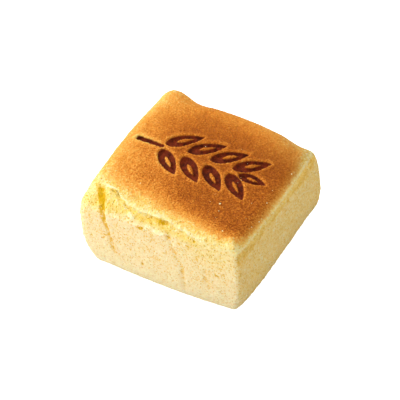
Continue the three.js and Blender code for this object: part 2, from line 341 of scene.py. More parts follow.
@dataclass(frozen=True)
class Block:
    """The plain block with rounded edges, and the way that it swells and leans in the oven.

    Attributes:
        length: Its size along X, and depth and height along Y and Z.
        corner_radii: Radii of the upright corners, seen from above: front left, front right, back left,
            back right.
        shoulder_width: Width of the quarter ellipse that turns the side into the top.
        shoulder_drop: Height of that quarter ellipse.
        foot_radius: Radius of the edge round the underside.
        waist: Height of the widest line, as a share of the height.
        foot_taper: How far the sides draw in from the waist to the foot, and top_lean from the waist to the
            top.
        belly: How far a side bows out midway between its corners, and back_bow what the back adds at its top.
        crown: Rise of the top's middle.
        corner_rise: Rise of the front left, front right, back left and back right corners.
        swells: The places where the baked skin departs from that.
    """

    length: float = 80.0
    depth: float = 78.5
    height: float = 41.0
    corner_radii: tuple[float, float, float, float] = (6.2, 2.6, 6.2, 6.2)
    shoulder_width: float = 7.6
    shoulder_drop: float = 6.3
    foot_radius: float = 1.7
    waist: float = 0.46
    foot_taper: float = 4.6
    top_lean: float = 1.8
    belly: float = 1.75
    back_bow: float = 1.2
    crown: float = 1.65
    corner_rise: tuple[float, float, float, float] = (0.75, 2.4, 1.0, -4.5)
    swells: tuple[Swell, ...] = (
        Swell((-32, 39, 40), 5.0, (0, 1.3, 2.45)),  # the knob beside the back left corner
        Swell((-22, 39, 40), 6.5, (0, -0.5, -0.95)),  # the dip after it
        Swell((31, 39, 38), 6.0, (0, -1.3, -0.75)),
        Swell((38, 37, 36), 5.0, (-0.55, 0.65, -0.1)),
        Swell((40, 32, 16), 7.0, (-0.25, 0, 0)),
        Swell((38, 37, 5), 5.0, (1.3, -0.2, 0), 8.0),
        Swell((-40, 8, 38), 12.0, (-0.1, 0, 0.45), 8.0),
        Swell((-40, -22, 40), 8.0, (0.1, 0, -0.25)),
        Swell((-35, -34, 40), 4.5, (1.8, 1.35, -1.75)),  # the slumped front left corner
        Swell((-40, -34, 32), 6.0, (-0.5, -0.5, 0)),
        Swell((-38, -37, 22), 9.0, (-0.85, 0.75, 0)),
        Swell((-37.5, -36.5, 3), 3.5, (0.3, -0.9, 0), 6.0),
        Swell((38, -37.5, 3), 4.0, (-0.65, -0.1, 0), 8.0),
        Swell((12, -39, 3), 13.0, (0, -0.15, 0), 8.0),
        Swell((40, 4, 3), 13.0, (-0.4, 0, 0), 8.0),
    )

    @property
    def half_length(self) -> float:
        """Half the size along X."""
        return self.length / 2

    @property
    def half_depth(self) -> float:
        """Half the size along Y."""
        return self.depth / 2

    @property
    def shoulder_start(self) -> float:
        """Height at which the side begins to turn into the top."""
        return self.height - self.shoulder_drop

    def corner_radius(self, x: Array, y: Array) -> Array:
        """Give the radius of the upright corner in each point's quarter of the plan."""
        front_left, front_right, back_left, back_right = self.corner_radii
        front, back = np.where(x < 0, front_left, front_right), np.where(x < 0, back_left, back_right)
        return np.where(y < 0, front, back)

    def plan(self, a: Array, b: Array, inset: Array) -> tuple[Array, Array]:
        """Move points of the square from -1 to 1 to the rounded rectangle at an inset inside the plan.

        A point past the straight sides is drawn in towards the corner's centre until its larger step from
        that centre is its distance from it, which turns the square's corner into an arc.

        Args:
            a: Places in the square along X.
            b: Places in the square along Y.
            inset: How far inside the plan the rectangle lies.

        Returns:
            The points' X and Y.
        """
        x, y = a * (self.half_length - inset), b * (self.half_depth - inset)
        radius = self.corner_radius(x, y)
        inner_x = self.half_length - radius
        inner_y = self.half_depth - radius
        cx, cy = np.clip(x, -inner_x, inner_x), np.clip(y, -inner_y, inner_y)
        dx, dy = x - cx, y - cy
        turn = np.maximum(np.abs(dx), np.abs(dy)) / np.maximum(np.hypot(dx, dy), TINY)
        return cx + dx * turn, cy + dy * turn

    def plan_inset(self, x: Array, y: Array) -> Array:
        """Tell how far plan points lie inside the block's outline.

        Args:
            x: Places along X.
            y: Places along Y.

        Returns:
            The way in from the outline, square to it, below 0 outside.
        """
        radius = self.corner_radius(x, y)
        dx = np.abs(x) - (self.half_length - radius)
        dy = np.abs(y) - (self.half_depth - radius)
        outside = np.hypot(np.maximum(dx, 0), np.maximum(dy, 0))
        return radius - outside - np.minimum(np.maximum(dx, dy), 0)

    def shoulder_height(self, inset: Array) -> Array:
        """Give the height of the plain top, whose edge turns down along a quarter ellipse."""
        across = np.clip(1 - inset / self.shoulder_width, 0, 1)
        return self.shoulder_start + self.shoulder_drop * np.sqrt(1 - across**2)

    def over_edge(self, along: Array) -> tuple[Array, Array]:
        """Turn the way up the side and on over the shoulder into inset and height.

        `along` counts rise plus inset from the shoulder's start. On the ellipse both grow with its angle,
        so the angle is read back from a fine table of that sum.

        Args:
            along: The way up the side and on over the shoulder.

        Returns:
            How far inside the plan the points lie, and their height.
        """
        angle = np.linspace(0, math.pi / 2, 400)
        reach = self.shoulder_width * (1 - np.cos(angle)) + self.shoulder_drop * np.sin(angle)
        turn = np.interp(along, reach, angle)
        past = np.maximum(along - reach[-1], 0)
        inset = self.shoulder_width * (1 - np.cos(turn)) + past
        rise = self.shoulder_drop * np.sin(turn) + np.minimum(along, 0)
        return inset, self.shoulder_start + rise

    def baked(self, points: Array) -> Array:
        """Move points of the plain block to where they lie on the baked cake.

        The sides draw in towards foot and top by a fourth power of the distance from the middle, bow out
        between the corners by a parabola, the corners rise by four amounts mixed between them, the top is
        crowned by a product of two parabolas, and each swell adds a bell-shaped push.

        Args:
            points: Places on the plain block, (n, 3).

        Returns:
            The same points on the baked cake, (n, 3).
        """
        x, y, z = points.T
        u, v = np.clip(x / self.half_length, -1, 1), np.clip(y / self.half_depth, -1, 1)
        w = np.clip(z / self.height, 0, 1)
        below = np.clip(1 - w / self.waist, 0, 1)
        above = np.clip((w - self.waist) / (1 - self.waist), 0, 1)
        taper = -self.foot_taper * below**2 - self.top_lean * above**2
        back = np.where(v > 0, self.back_bow * w**2 * np.cos(math.pi * u / 2) ** 2, 0)
        front_left, front_right, back_left, back_right = self.corner_rise
        right_share, back_share = (u + 1) / 2, (v + 1) / 2
        front_rise = lerp(front_left, front_right, right_share)
        rise = lerp(front_rise, lerp(back_left, back_right, right_share), back_share)
        place = np.stack(
            [
                x + np.sign(x) * u**4 * (taper + self.belly * (1 - v**2)),
                y + np.sign(y) * v**4 * (taper + self.belly * (1 - u**2) + back),
                z + w * rise + w**2 * self.crown * (1 - u**2) * (1 - v**2),
            ],
            axis=-1,
        )
        return place + np.sum([swell.moved(points) for swell in self.swells], axis=0)


# ---------------------------------------------------------------- the torn seam, the folds and the groove


@dataclass(frozen=True)
class Seam:
    """The torn seam along the top of the -Y side, between the skin of the side and the lip of the crust.

    Attributes:
        start: Where the seam begins along X, and full where it is open all the way.
        closing: Where it begins to close, and end where it is closed.
        lip_line: `along` of the crust's lip, and edge_line of the upper edge of the side's skin.
        yellow_line: `along` of the lower edge of the bare yellow crumb.
        crevice_depth: Depth of the crevice under the lip, and crevice_reach how far down from the lip it is
            felt.
        bed: How deep the bare crumb lies below the skin edge.
        overhang: How far the lip hangs over.
        middle_rows: The stretch of `along` whose rows are laid between skin edge and lip.
        reach: The stretch of `along` over which the rows give way for that.
        rows_from: Where along X the rows begin to bend, and rows_until where they are straight again.
        join: How close to skin edge or lip a row counts as lying on it.
        raised: How far the crust above the lip stands proud, over raised_width.
        flare: How far the skin edge curls outwards at most, over flare_width.
        step_width: Over how much of `along` the bed sinks in at the skin edge.
        lip_fray: How the lip wanders, and edge_fray the skin edge.
        crevice_fray, flare_fray, slip_fray: How crevice, flare and slip change along X.
        rough: The random relief that these are read from.
    """

    block: Block
    start: float = -35.0
    full: float = -31.5
    closing: float = 6.0
    end: float = 27.0
    lip_line: Line = (
        (-35.0, 15.8), (-24.5, 15.3), (-22.0, 13.4), (-18.0, 11.6), (-15.0, 9.8), (-10.0, 8.9), (-5.0, 8.7),
        (1.5, 9.1), (5.0, 8.1), (10.0, 7.0), (15.0, 5.6), (20.0, 4.2), (27.0, 3.0),
    )
    edge_line: Line = (
        (-35.0, 0.6), (-27.0, 0.0), (-22.0, 0.8), (-14.0, 2.1), (-9.0, 1.0), (-5.0, 1.1), (0.0, 1.5),
        (5.0, 0.7), (9.0, -0.9), (16.0, -1.1), (27.0, -2.0),
    )
    yellow_line: Line = (
        (-35.0, 1.5), (-27.0, 2.5), (-20.0, 4.0), (-14.0, 5.0), (-10.0, 4.2), (0.0, 3.6), (8.0, 2.6),
        (14.0, 1.2), (20.0, 0.0), (27.0, -3.0),
    )
    crevice_depth: Line = (
        (-33.0, 0.0), (-30.5, 0.1), (-28.5, 0.45), (-23.0, 0.55), (-20.0, 0.3), (-16.0, 0.4), (-12.0, 0.15),
        (-6.0, 0.25), (-1.0, 0.5), (3.0, 0.6), (6.0, 0.3), (14.0, 0.2), (22.0, 0.1),
    )
    crevice_reach: Line = ((-35.0, 1.0), (-22.0, 1.1), (-14.0, 2.2), (-4.0, 4.2), (4.0, 4.0), (12.0, 2.6))
    bed: float = 0.38
    overhang: float = 0.14
    middle_rows: Stretch = (0.5, 10.0)
    reach: Stretch = (-9.0, 27.0)
    rows_from: Stretch = (-36.0, -33.5)
    rows_until: Stretch = (24.0, 32.0)
    join: float = 1e-4
    raised: float = 0.06
    raised_width: float = 2.0
    flare: float = 1.1
    flare_width: float = 0.9
    step_width: float = 0.9
    lip_fray: tuple[Waves, ...] = (Waves(0.6, 4.5, 2, 3.0), Waves(0.25, 1.6, 2, 23.0))
    edge_fray: tuple[Waves, ...] = (Waves(0.8, 3.6, 2, 17.0), Waves(0.5, 1.5, 2, 29.0))
    crevice_fray: Waves = Waves(0.7, 2.6, 2, 41.0)
    flare_fray: Waves = Waves(1.0, 2.6, 2, 53.0)
    slip_fray: Waves = Waves(1.1, 2.2, 2, 67.0)
    rough: Chance = Chance(11)

    def open(self, x: Array) -> Array:
        """Tell how far the seam has opened, from 0 to 1."""
        return between(x, (self.start, self.full), (self.closing, self.end))

    def frayed(self, line: Line, fray: tuple[Waves, ...], x: Array) -> Array:
        """Read a line along X and add its fray."""
        return read_line(line, x) + sum(waves.beside(self.rough, x) for waves in fray)

    def lip(self, x: Array) -> Array:
        """Give `along` of the lip, uneven by wide waves and a finer fray."""
        return self.frayed(self.lip_line, self.lip_fray, x)

    def skin_edge(self, x: Array) -> Array:
        """Give `along` of the frayed upper edge of the side's skin."""
        return self.frayed(self.edge_line, self.edge_fray, x)

    def lay_rows(self, x: Array, along: Array) -> Array:
        """Bend the rows of the skin's grid so that one row follows the skin edge and one the lip.

        Between the ends of `reach`, `along` is stretched piece by piece in straight lines, and the bend
        fades out towards both ends of the seam.

        Args:
            x: Places along X.
            along: Their way up the side.

        Returns:
            The bent way.
        """
        low, high = self.middle_rows
        first, last = self.reach
        edge, lip = self.skin_edge(x), self.lip(x)
        bent = np.where(along < low, lerp(first, edge, (along - first) / (low - first)), 0.0)
        bent = np.where((along >= low) & (along < high), lerp(edge, lip, (along - low) / (high - low)), bent)
        bent = np.where(along >= high, lerp(lip, last, (along - high) / (last - high)), bent)
        bent = np.where((along <= first) | (along >= last), along, bent)
        return lerp(along, bent, self.presence(x))

    def presence(self, x: Array) -> Array:
        """Tell where along X the bent rows are in use."""
        return between(x, self.rows_from, self.rows_until)

    def across(self, x: Array, along: Array) -> Array:
        """Give the share of the way from the skin edge (0) to the lip (1)."""
        edge, lip = self.skin_edge(x), self.lip(x)
        return (along - edge) / (lip - edge)

    def crevice(self, x: Array, along: Array) -> Array:
        """Give the depth of the crevice: deepest just under the lip, running out downwards over its reach.

        Args:
            x: Places along X.
            along: Their way up the side.

        Returns:
            The depths.
        """
        under = self.lip(x) - along
        below = 1 - smoothstep(0.0, 1.0, np.clip(under, 0, None) / read_line(self.crevice_reach, x))
        uneven = np.clip(1 + self.crevice_fray.beside(self.rough, x), 0.3, 1.6)
        return np.where(under > -self.join, read_line(self.crevice_depth, x) * below * uneven, 0.0)

    def hollow(self, x: Array, along: Array) -> Array:
        """Give the depth of the torn crumb: a small step at the skin edge, and the crevice under the lip.

        Above the lip the crust is raised a little, and at the skin edge the skin flares out.

        Args:
            x: Places along X.
            along: Their way up the side.

        Returns:
            The depths, below 0 where the skin stands proud.
        """
        share = self.across(x, along)
        at_edge, at_lip = share <= self.join, share >= 1 - self.join
        beyond = np.maximum(along - self.lip(x), 0)
        short = np.maximum(self.skin_edge(x) - along, 0)
        step = self.bed * smoothstep(0, self.step_width, along - self.skin_edge(x))
        raised = np.where(at_lip, self.raised * bell(beyond, self.raised_width), 0)
        curl = self.flare * np.clip(self.flare_fray.beside(self.rough, x), 0, 1)
        flare = np.where(at_edge, bell(short, self.flare_width) * curl, 0)
        return self.open(x) * ((step + self.crevice(x, along)) * ~(at_edge | at_lip) - raised - flare)

    def slip(self, x: Array, along: Array) -> Array:
        """Tell how far the crust beside the lip has slid down over the torn crumb: most on the left.

        Args:
            x: Places along X.
            along: Their way up the side.

        Returns:
            How far the points slide.
        """
        above = np.where(self.across(x, along) >= 1 - self.join, bell(along - self.lip(x), 1.0), 0)
        uneven = np.clip(0.6 + self.slip_fray.beside(self.rough, x), 0, 1.5)
        left = lerp(1.0, 0.2, smoothstep(-22.0, -12.0, x))
        return self.overhang * self.open(x) * above * uneven * left


@dataclass(frozen=True)
class Fold:
    """The deep fold that crosses the tear and runs on down the -Y side as a shallow groove.

    Attributes:
        x: Where it crosses the bottom of the tear.
        depth: Its depth by `along`.
        wide: Its half width to the left by `along`, and slim to the right.
        lean: How far it moves to the right for each millimetre down the side.
        bend: How strongly it bends to the left above the tear.
        step: How far the skin to its right stands proud.
        step_rise: Where up the side that begins, and step_fall where it ends.
        tint: How strongly the deep yellow shows in it, by `along`: partly the crumb's own yellow, partly
        painted shade.
    """

    x: float = -25.6
    depth: Line = (
        (-29.0, 0.0), (-22.0, 0.35), (-14.0, 0.7), (-3.0, 0.75), (3.0, 0.9), (9.0, 0.9), (12.5, 0.5),
        (17.5, 0.0),
    )
    wide: Line = ((-24.0, 1.5), (-3.0, 2.3), (2.0, 2.0), (5.0, 2.4), (11.0, 3.2))
    slim: Line = ((-24.0, 0.6), (-3.0, 0.7), (2.0, 1.0), (5.0, 1.8), (11.0, 2.8))
    lean: float = 0.31
    bend: float = 0.27
    step: float = 0.4
    step_rise: Stretch = (-26, -14)
    step_fall: Stretch = (0, 6)
    # deep yellow in the fold, partly the crumb's own colour and partly painted shade
    tint: Line = (
        (-27.0, 0.0), (-16.0, 0.6), (-3.0, 0.7), (1.0, 0.9), (4.0, 1.25), (11.0, 1.35), (14.0, 0.9),
        (18.0, 0.0),
    )

    def middle(self, along: Array) -> Array:
        """Give X of the fold's bottom."""
        return self.x - self.bend * np.maximum(along, 0) ** 1.25 + self.lean * np.maximum(-along, 0)

    def shape(self, x: Array, along: Array) -> Array:
        """Give the fold's cross section, 1 at its bottom: a bell that is wider on its left."""
        away = x - self.middle(along)
        return bell(away, np.where(away < 0, read_line(self.wide, along), read_line(self.slim, along)))

    def proud(self, away: Array, along: Array) -> Array:
        """Tell how far the skin stands proud, by the way to the right from the fold's bottom."""
        rise = between(away, (0.2, 1.0), (1.0, 5.0))
        return self.step * rise * between(along, self.step_rise, self.step_fall)

    def groove(self, x: Array, along: Array) -> Array:
        """Give the groove's depth, less the step by which the skin to its right stands proud."""
        proud = self.proud(x - self.middle(along), along)
        return read_line(self.depth, along) * self.shape(x, along) - proud


@dataclass(frozen=True)
class Crease:
    """A crease in the skin, along a bent line. On the -Y side it runs up the side.

    On the top, Y takes the place of x and X that of `along`, so it runs from left to right. On the +X side,
    Y takes the place of x and the way over the rim that of `along`.

    Attributes:
        line: x of its bottom by `along`, from its lower end to its upper end.
        depth: Its depth.
        wide: Its half width towards lower x, and slim towards higher x.
        upper_fade: Length over which it runs out at its upper end, and lower_fade at its lower end.
    """

    line: Line
    depth: float
    wide: float
    slim: float
    upper_fade: float = 2.5
    lower_fade: float = 3.5

    def groove(self, x: Array, along: Array) -> Array:
        """Give the crease's depth: a bell across it, wider on one side and faded at both ends.

        Args:
            x: Places along X.
            along: Their way up the side.

        Returns:
            The depths.
        """
        low, high = self.line[0][0], self.line[-1][0]
        away = x - read_line(self.line, along)
        ends = between(along, (low, low + self.lower_fade), (high - self.upper_fade, high))
        return self.depth * ends * bell(away, np.where(away < 0, self.wide, self.slim))


@dataclass(frozen=True)
class Pore(Oval):
    """A single large pore in the skin of a side, or a flake that stands proud of it.

    Attributes:
        turn: How it leans, in degrees.
        depth: Its depth, below 0 for a flake.
    """

    turn: float = 0.0
    depth: float = 0.9

    def shape(self, x: Array, along: Array) -> Array:
        """Give 1 in its middle, falling to 0 round an oval: the way from it is turned back by its lean."""
        away = (x - self.x + 1j * (along - self.along)) * np.exp(-1j * math.radians(self.turn))
        return 1 - smoothstep(0.2, 1.25, np.hypot(away.real / self.wide, away.imag / self.tall))


@dataclass(frozen=True)
class Ripples(Oval):
    """A patch of small wavy wrinkles over the -Y rim.

    Attributes:
        spacing: Distance from one wrinkle to the next.
        turn: How they lean, in degrees.
        depth: Their depth.
        waver: How they wander from straight lines, read from `rough`.
    """

    spacing: float
    turn: float
    depth: float
    waver: Waves = Waves(1.5, 6.0)
    rough: Chance = Chance(71)

    def height(self, x: Array, along: Array) -> Array:
        """Give their height: a sine across them, bent by waves and faded by a bell round the middle.

        Args:
            x: Places along X.
            along: Their way up the side.

        Returns:
            The heights.
        """
        c, s = turned(self.turn)
        waver = self.waver.over(self.rough, np.stack([x, along, np.zeros_like(x)], axis=-1))
        across = (along - self.along) * c - (x - self.x) * s + waver
        return self.depth * self.faded(x, along) * np.sin(math.tau * across / self.spacing)


@dataclass(frozen=True)
class RimGroove:
    """The groove under the top edge of the +X side, with a soft ridge above it.

    Attributes:
        groove_line: Way over the rim to the groove's bottom, along Y, and ridge_line to the ridge's top.
        depth: Depth of the groove, and width its half width.
        rise: How far the ridge stands proud, and ridge_width its half width.
        front_end: The stretch of Y over which both fade at the front, and back_end at the back.
        waves: How both wander up and down, read from `rough`.
    """

    groove_line: Line = (
        (-38.0, -1.9), (-25.0, -1.4), (-15.0, -0.5), (-5.0, 0.0), (5.0, 0.3), (15.0, 0.9), (38.0, 1.3),
    )
    ridge_line: Line = (
        (-38.0, 2.4), (-20.0, 3.6), (-10.0, 3.9), (0.0, 4.5), (10.0, 5.0), (20.0, 5.7), (38.0, 6.2),
    )
    depth: float = 0.35
    width: float = 1.1
    rise: float = 0.5
    ridge_width: float = 0.9
    front_end: Stretch = (-39.2, -37.0)
    back_end: Stretch = (33.0, 38.5)
    waves: Waves = Waves(0.2, 7.0)
    rough: Chance = Chance(61)

    def run(self, y: Array) -> Array:
        """Tell where along Y groove and ridge are in full, from 0 to 1."""
        return between(y, self.front_end, self.back_end)

    def over_groove(self, y: Array, way: Array) -> Array:
        """Give the way from the groove's bottom, up and over the rim."""
        return way - read_line(self.groove_line, y) - self.waves.beside(self.rough, y)

    def over_ridge(self, y: Array, way: Array) -> Array:
        """Give the way from the ridge's top, inwards over the rim."""
        return way - read_line(self.ridge_line, y) - self.waves.beside(self.rough, y + 50)

    def groove(self, y: Array, way: Array) -> Array:
        """Give the groove's depth less the ridge's height, both bells across the way."""
        sunk = self.depth * bell(self.over_groove(y, way), self.width)
        return self.run(y) * (sunk - self.rise * bell(self.over_ridge(y, way), self.ridge_width))


# ---------------------------------------------------------------- the pressed mark


@dataclass(frozen=True)
class GrainMark:
    """An ear of grain pressed into the top: pairs of leaning grains, one at the tip, and a stem.

    Attributes:
        stem_end: X of the stem's round end.
        first_pair: X of the first pair's root, and pitch the distance from pair to pair.
        pairs: How many pairs there are.
        y: Where the ear's middle line lies.
        depth: How deep its floor lies under the crust.
        grain: Length and width of a grain, and tilt its turn in degrees.
        apart: How far a grain's root lies from the middle line.
        tip_from: X of the tip grain's root, and tip its length and width.
        stem: Length and width of the stem.
        island: Start, length and width of the sliver left standing in a grain, as shares of the grain's.
        curve_steps: Points on each half of a grain's outline.
        half_size: Half the size of the stretch of the top in which the mark is measured.
        wall: The distances from the outline at which its wall ends and begins.
        puff: How far the crust round the mark is puffed up, puff_rise and puff_fall from where to where.
        wander: How the outline wanders, read from `uneven`.
    """

    stem_end: float = -33.0
    first_pair: float = -19.5
    pitch: float = 11.0
    pairs: int = 4
    y: float = 3.0
    depth: float = 1.35
    grain: tuple[float, float] = (17.5, 7.0)
    tilt: float = 42.0
    apart: float = 1.7
    tip_from: float = 17.6
    tip: tuple[float, float] = (13.0, 5.6)
    stem: tuple[float, float] = (13.5, 2.9)
    island: tuple[float, float, float] = (0.3, 0.42, 0.26)
    curve_steps: int = 22
    half_size: tuple[float, float] = (42.0, 22.0)
    wall: Stretch = (-0.62, 0.3)
    puff: float = 0.28
    puff_rise: Stretch = (0.0, 0.8)
    puff_fall: Stretch = (0.8, 3.4)
    wander: Waves = Waves(0.13, 3.0)
    uneven: Chance = Chance(23)

    def oval(self, start: float, length: float, width: float) -> Array:
        """Outline a pointed oval along X from two cubic curves whose handles lie past its widest part.

        Args:
            start: X of its round root.
            length: Its length.
            width: Its width.

        Returns:
            The outline's corners, (2 * curve_steps, 2).
        """
        bulge, end = width / 2 * 4 / 3, start + length
        near, far = start + 0.12 * length, end - 0.4 * length
        t = np.linspace(0, 1, self.curve_steps, endpoint=False)[:, None]
        shares = np.concatenate([(1 - t) ** 3, 3 * (1 - t) ** 2 * t, 3 * (1 - t) * t**2, t**3], axis=1)
        lower = np.array([(start, 0), (near, -bulge), (far, -bulge), (end, 0)])
        upper = np.array([(end, 0), (far, bulge), (near, bulge), (start, 0)])
        return np.concatenate([shares @ lower, shares @ upper])

    def stem_outline(self) -> Array:
        """Outline the stem: a half circle at its end and two edges that draw together along a parabola."""
        length, width = self.stem
        end = width / 2
        turn = np.linspace(math.pi / 2, 1.5 * math.pi, 10)
        cap = np.stack([end + end * np.cos(turn), end * np.sin(turn)], axis=-1)
        t = np.linspace(0, 1, 10)[1:, None]
        shares = np.concatenate([(1 - t) ** 2, 2 * (1 - t) * t, t**2], axis=1)
        upper = shares @ np.array([(end, end), (length * 0.6, end * 0.8), (length, end * 0.6)])
        return np.concatenate([cap, upper * (1, -1), upper[::-1]])

    @staticmethod
    def distance(points: Array, outline: Array) -> Array:
        """Measure the distance from points to a closed outline, below 0 inside it.

        The nearest point of each edge gives the distance, and counting the edges that a ray along +X crosses
        tells inside from outside.

        Args:
            points: Plan places, (n, 2).
            outline: The outline's corners in order, (m, 2).

        Returns:
            The distances, (n,).
        """
        start, end = outline, np.roll(outline, -1, axis=0)
        edge = end - start
        gap = points[:, None, :] - start
        share = np.clip(np.sum(gap * edge, -1) / np.maximum(np.sum(edge * edge, -1), TINY), 0, 1)
        away = np.linalg.norm(gap - share[..., None] * edge, axis=-1).min(axis=1)
        px, py = points[:, 0:1], points[:, 1:2]
        straddles = (start[:, 1] > py) != (end[:, 1] > py)
        rise = np.where(np.abs(edge[:, 1]) < TINY, TINY, edge[:, 1])
        crosses = px < start[:, 0] + (py - start[:, 1]) / rise * edge[:, 0]
        inside = np.sum(straddles & crosses, axis=1) % 2 == 1
        return np.where(inside, -away, away)

    def placed(self, outline: Array, turn: float, x: float, y: float) -> Array:
        """Turn an outline by `turn` degrees and move its root to (x, y)."""
        c, s = turned(turn)
        return outline @ np.array([[c, s], [-s, c]]) + (x, y)

    def signed_distance(self, points: Array, margin: float) -> Array:
        """Measure the distance to the whole mark, below 0 where it is pressed, at most `margin` outside.

        Args:
            points: Plan places, (n, 2).
            margin: How far from the mark the distance still counts.

        Returns:
            The distances, (n,).
        """
        first, long, slim = self.island
        roots = [(0.0, self.tip_from, self.y, self.tip)]
        for pair, side in itertools.product(range(self.pairs), (1, -1)):
            x = self.first_pair + pair * self.pitch
            roots.append((side * self.tilt, x, self.y + side * self.apart, self.grain))
        result = np.full(len(points), margin)
        near = np.all(np.abs(points - (0.0, self.y)) < self.half_size, axis=1)
        spots = points[near]
        best = self.distance(spots, self.placed(self.stem_outline(), 0, self.stem_end, self.y))
        for turn, x, y, (length, width) in roots:
            outer = self.distance(spots, self.placed(self.oval(0, length, width), turn, x, y))
            isle = self.placed(self.oval(first * length, long * length, slim * width), turn, x, y)
            best = np.minimum(best, np.maximum(outer, -self.distance(spots, isle)))
        best = best + self.wander.over(self.uneven, np.c_[spots, np.zeros(len(spots))])
        result[near] = np.minimum(best, margin)
        return result

    def sink(self, distance: Array) -> Array:
        """Give how far the crust is pressed down: steep soft walls, and a rim puffed up round them."""
        puff = self.puff * between(distance, self.puff_rise, self.puff_fall)
        return self.depth * (1 - smoothstep(*self.wall, distance)) - puff


# ---------------------------------------------------------------- the cake's skin


class Mask(Enum):
    """The values that the skin carries for its finish, by the name of the mesh attribute.

    BROWNING runs from 0 for cream crumb to 1 for the darkest crust. SIDE is 1 on the skin of the sides.
    MARK is the distance to the pressed mark in millimetres. TORN tells bare yellow crumb. The hollow mask
    is 1 in hollows, more where they are deep, and below 0 on grains and flakes that stand proud: the deep
    yellow is partly the crumb's own colour and partly painted shade, the paler grains and flakes partly
    painted highlight. The last mask is painted shade, 1 where the crust is painted darker: on the right
    shoulder and towards the back right corner, where less light falls.
    """

    BROWNING = "browning"
    SIDE = "side"
    MARK = "mark_distance"
    TORN = "torn"
    # deep yellow in hollows, partly painted shade; below 0 paler grains, partly painted highlight
    HOLLOW_TINT_AND_SHADE = "hollow"
    # painted shade: darker crust where less light falls
    PAINTED_SHADE = "painted_shade"


def smooth_piece(name: str, points: Array, faces: list[list[int]]) -> Piece:
    """Put a smooth-shaded mesh into the scene.

    Args:
        name: Its name.
        points: Its points in metres, (n, 3).
        faces: The numbers of each face's points.

    Returns:
        The object.
    """
    mesh = bpy.data.meshes.new(name)
    mesh.from_pydata(points, [], faces)
    mesh.polygons.foreach_set("use_smooth", np.ones(len(mesh.polygons), bool))
    mesh.update()
    piece = bpy.data.objects.new(name, mesh)
    bpy.context.scene.collection.objects.link(piece)
    return piece


@dataclass
class Skin:
    """The closed skin of the cake while it is worked out, in millimetres.

    Attributes:
        plain: Places on the plain block, (n, 3).
        quads: Faces with four corners, and fan the triangles that close the underside.
        along: The way up the -Y side and on over the shoulder, and front 1 where that way counts.
        points: Places on the cake.
        relief: Height of the fine relief.
        masks: The values for the finish.
    """

    plain: Array
    quads: Array
    fan: Array
    points: Array = field(default_factory=lambda: np.empty(0))
    along: Array = field(default_factory=lambda: np.empty(0))
    front: Array = field(default_factory=lambda: np.empty(0))
    relief: Array = field(default_factory=lambda: np.empty(0))
    masks: dict[Mask, Array] = field(default_factory=dict)

    def normals(self) -> Array:
        """Give each point's outward normal: the sum of the cross products of the diagonals of its faces."""
        a, b, c, d = (self.points[self.quads[:, k]] for k in range(4))
        face = np.cross(c - a, d - b)
        total = np.zeros_like(self.points)
        for k, axis in itertools.product(range(4), range(3)):
            total[:, axis] += np.bincount(self.quads[:, k], face[:, axis], len(total))
        total[-1] = (0, 0, -1)
        return total / np.maximum(np.linalg.norm(total, axis=1, keepdims=True), 1e-12)


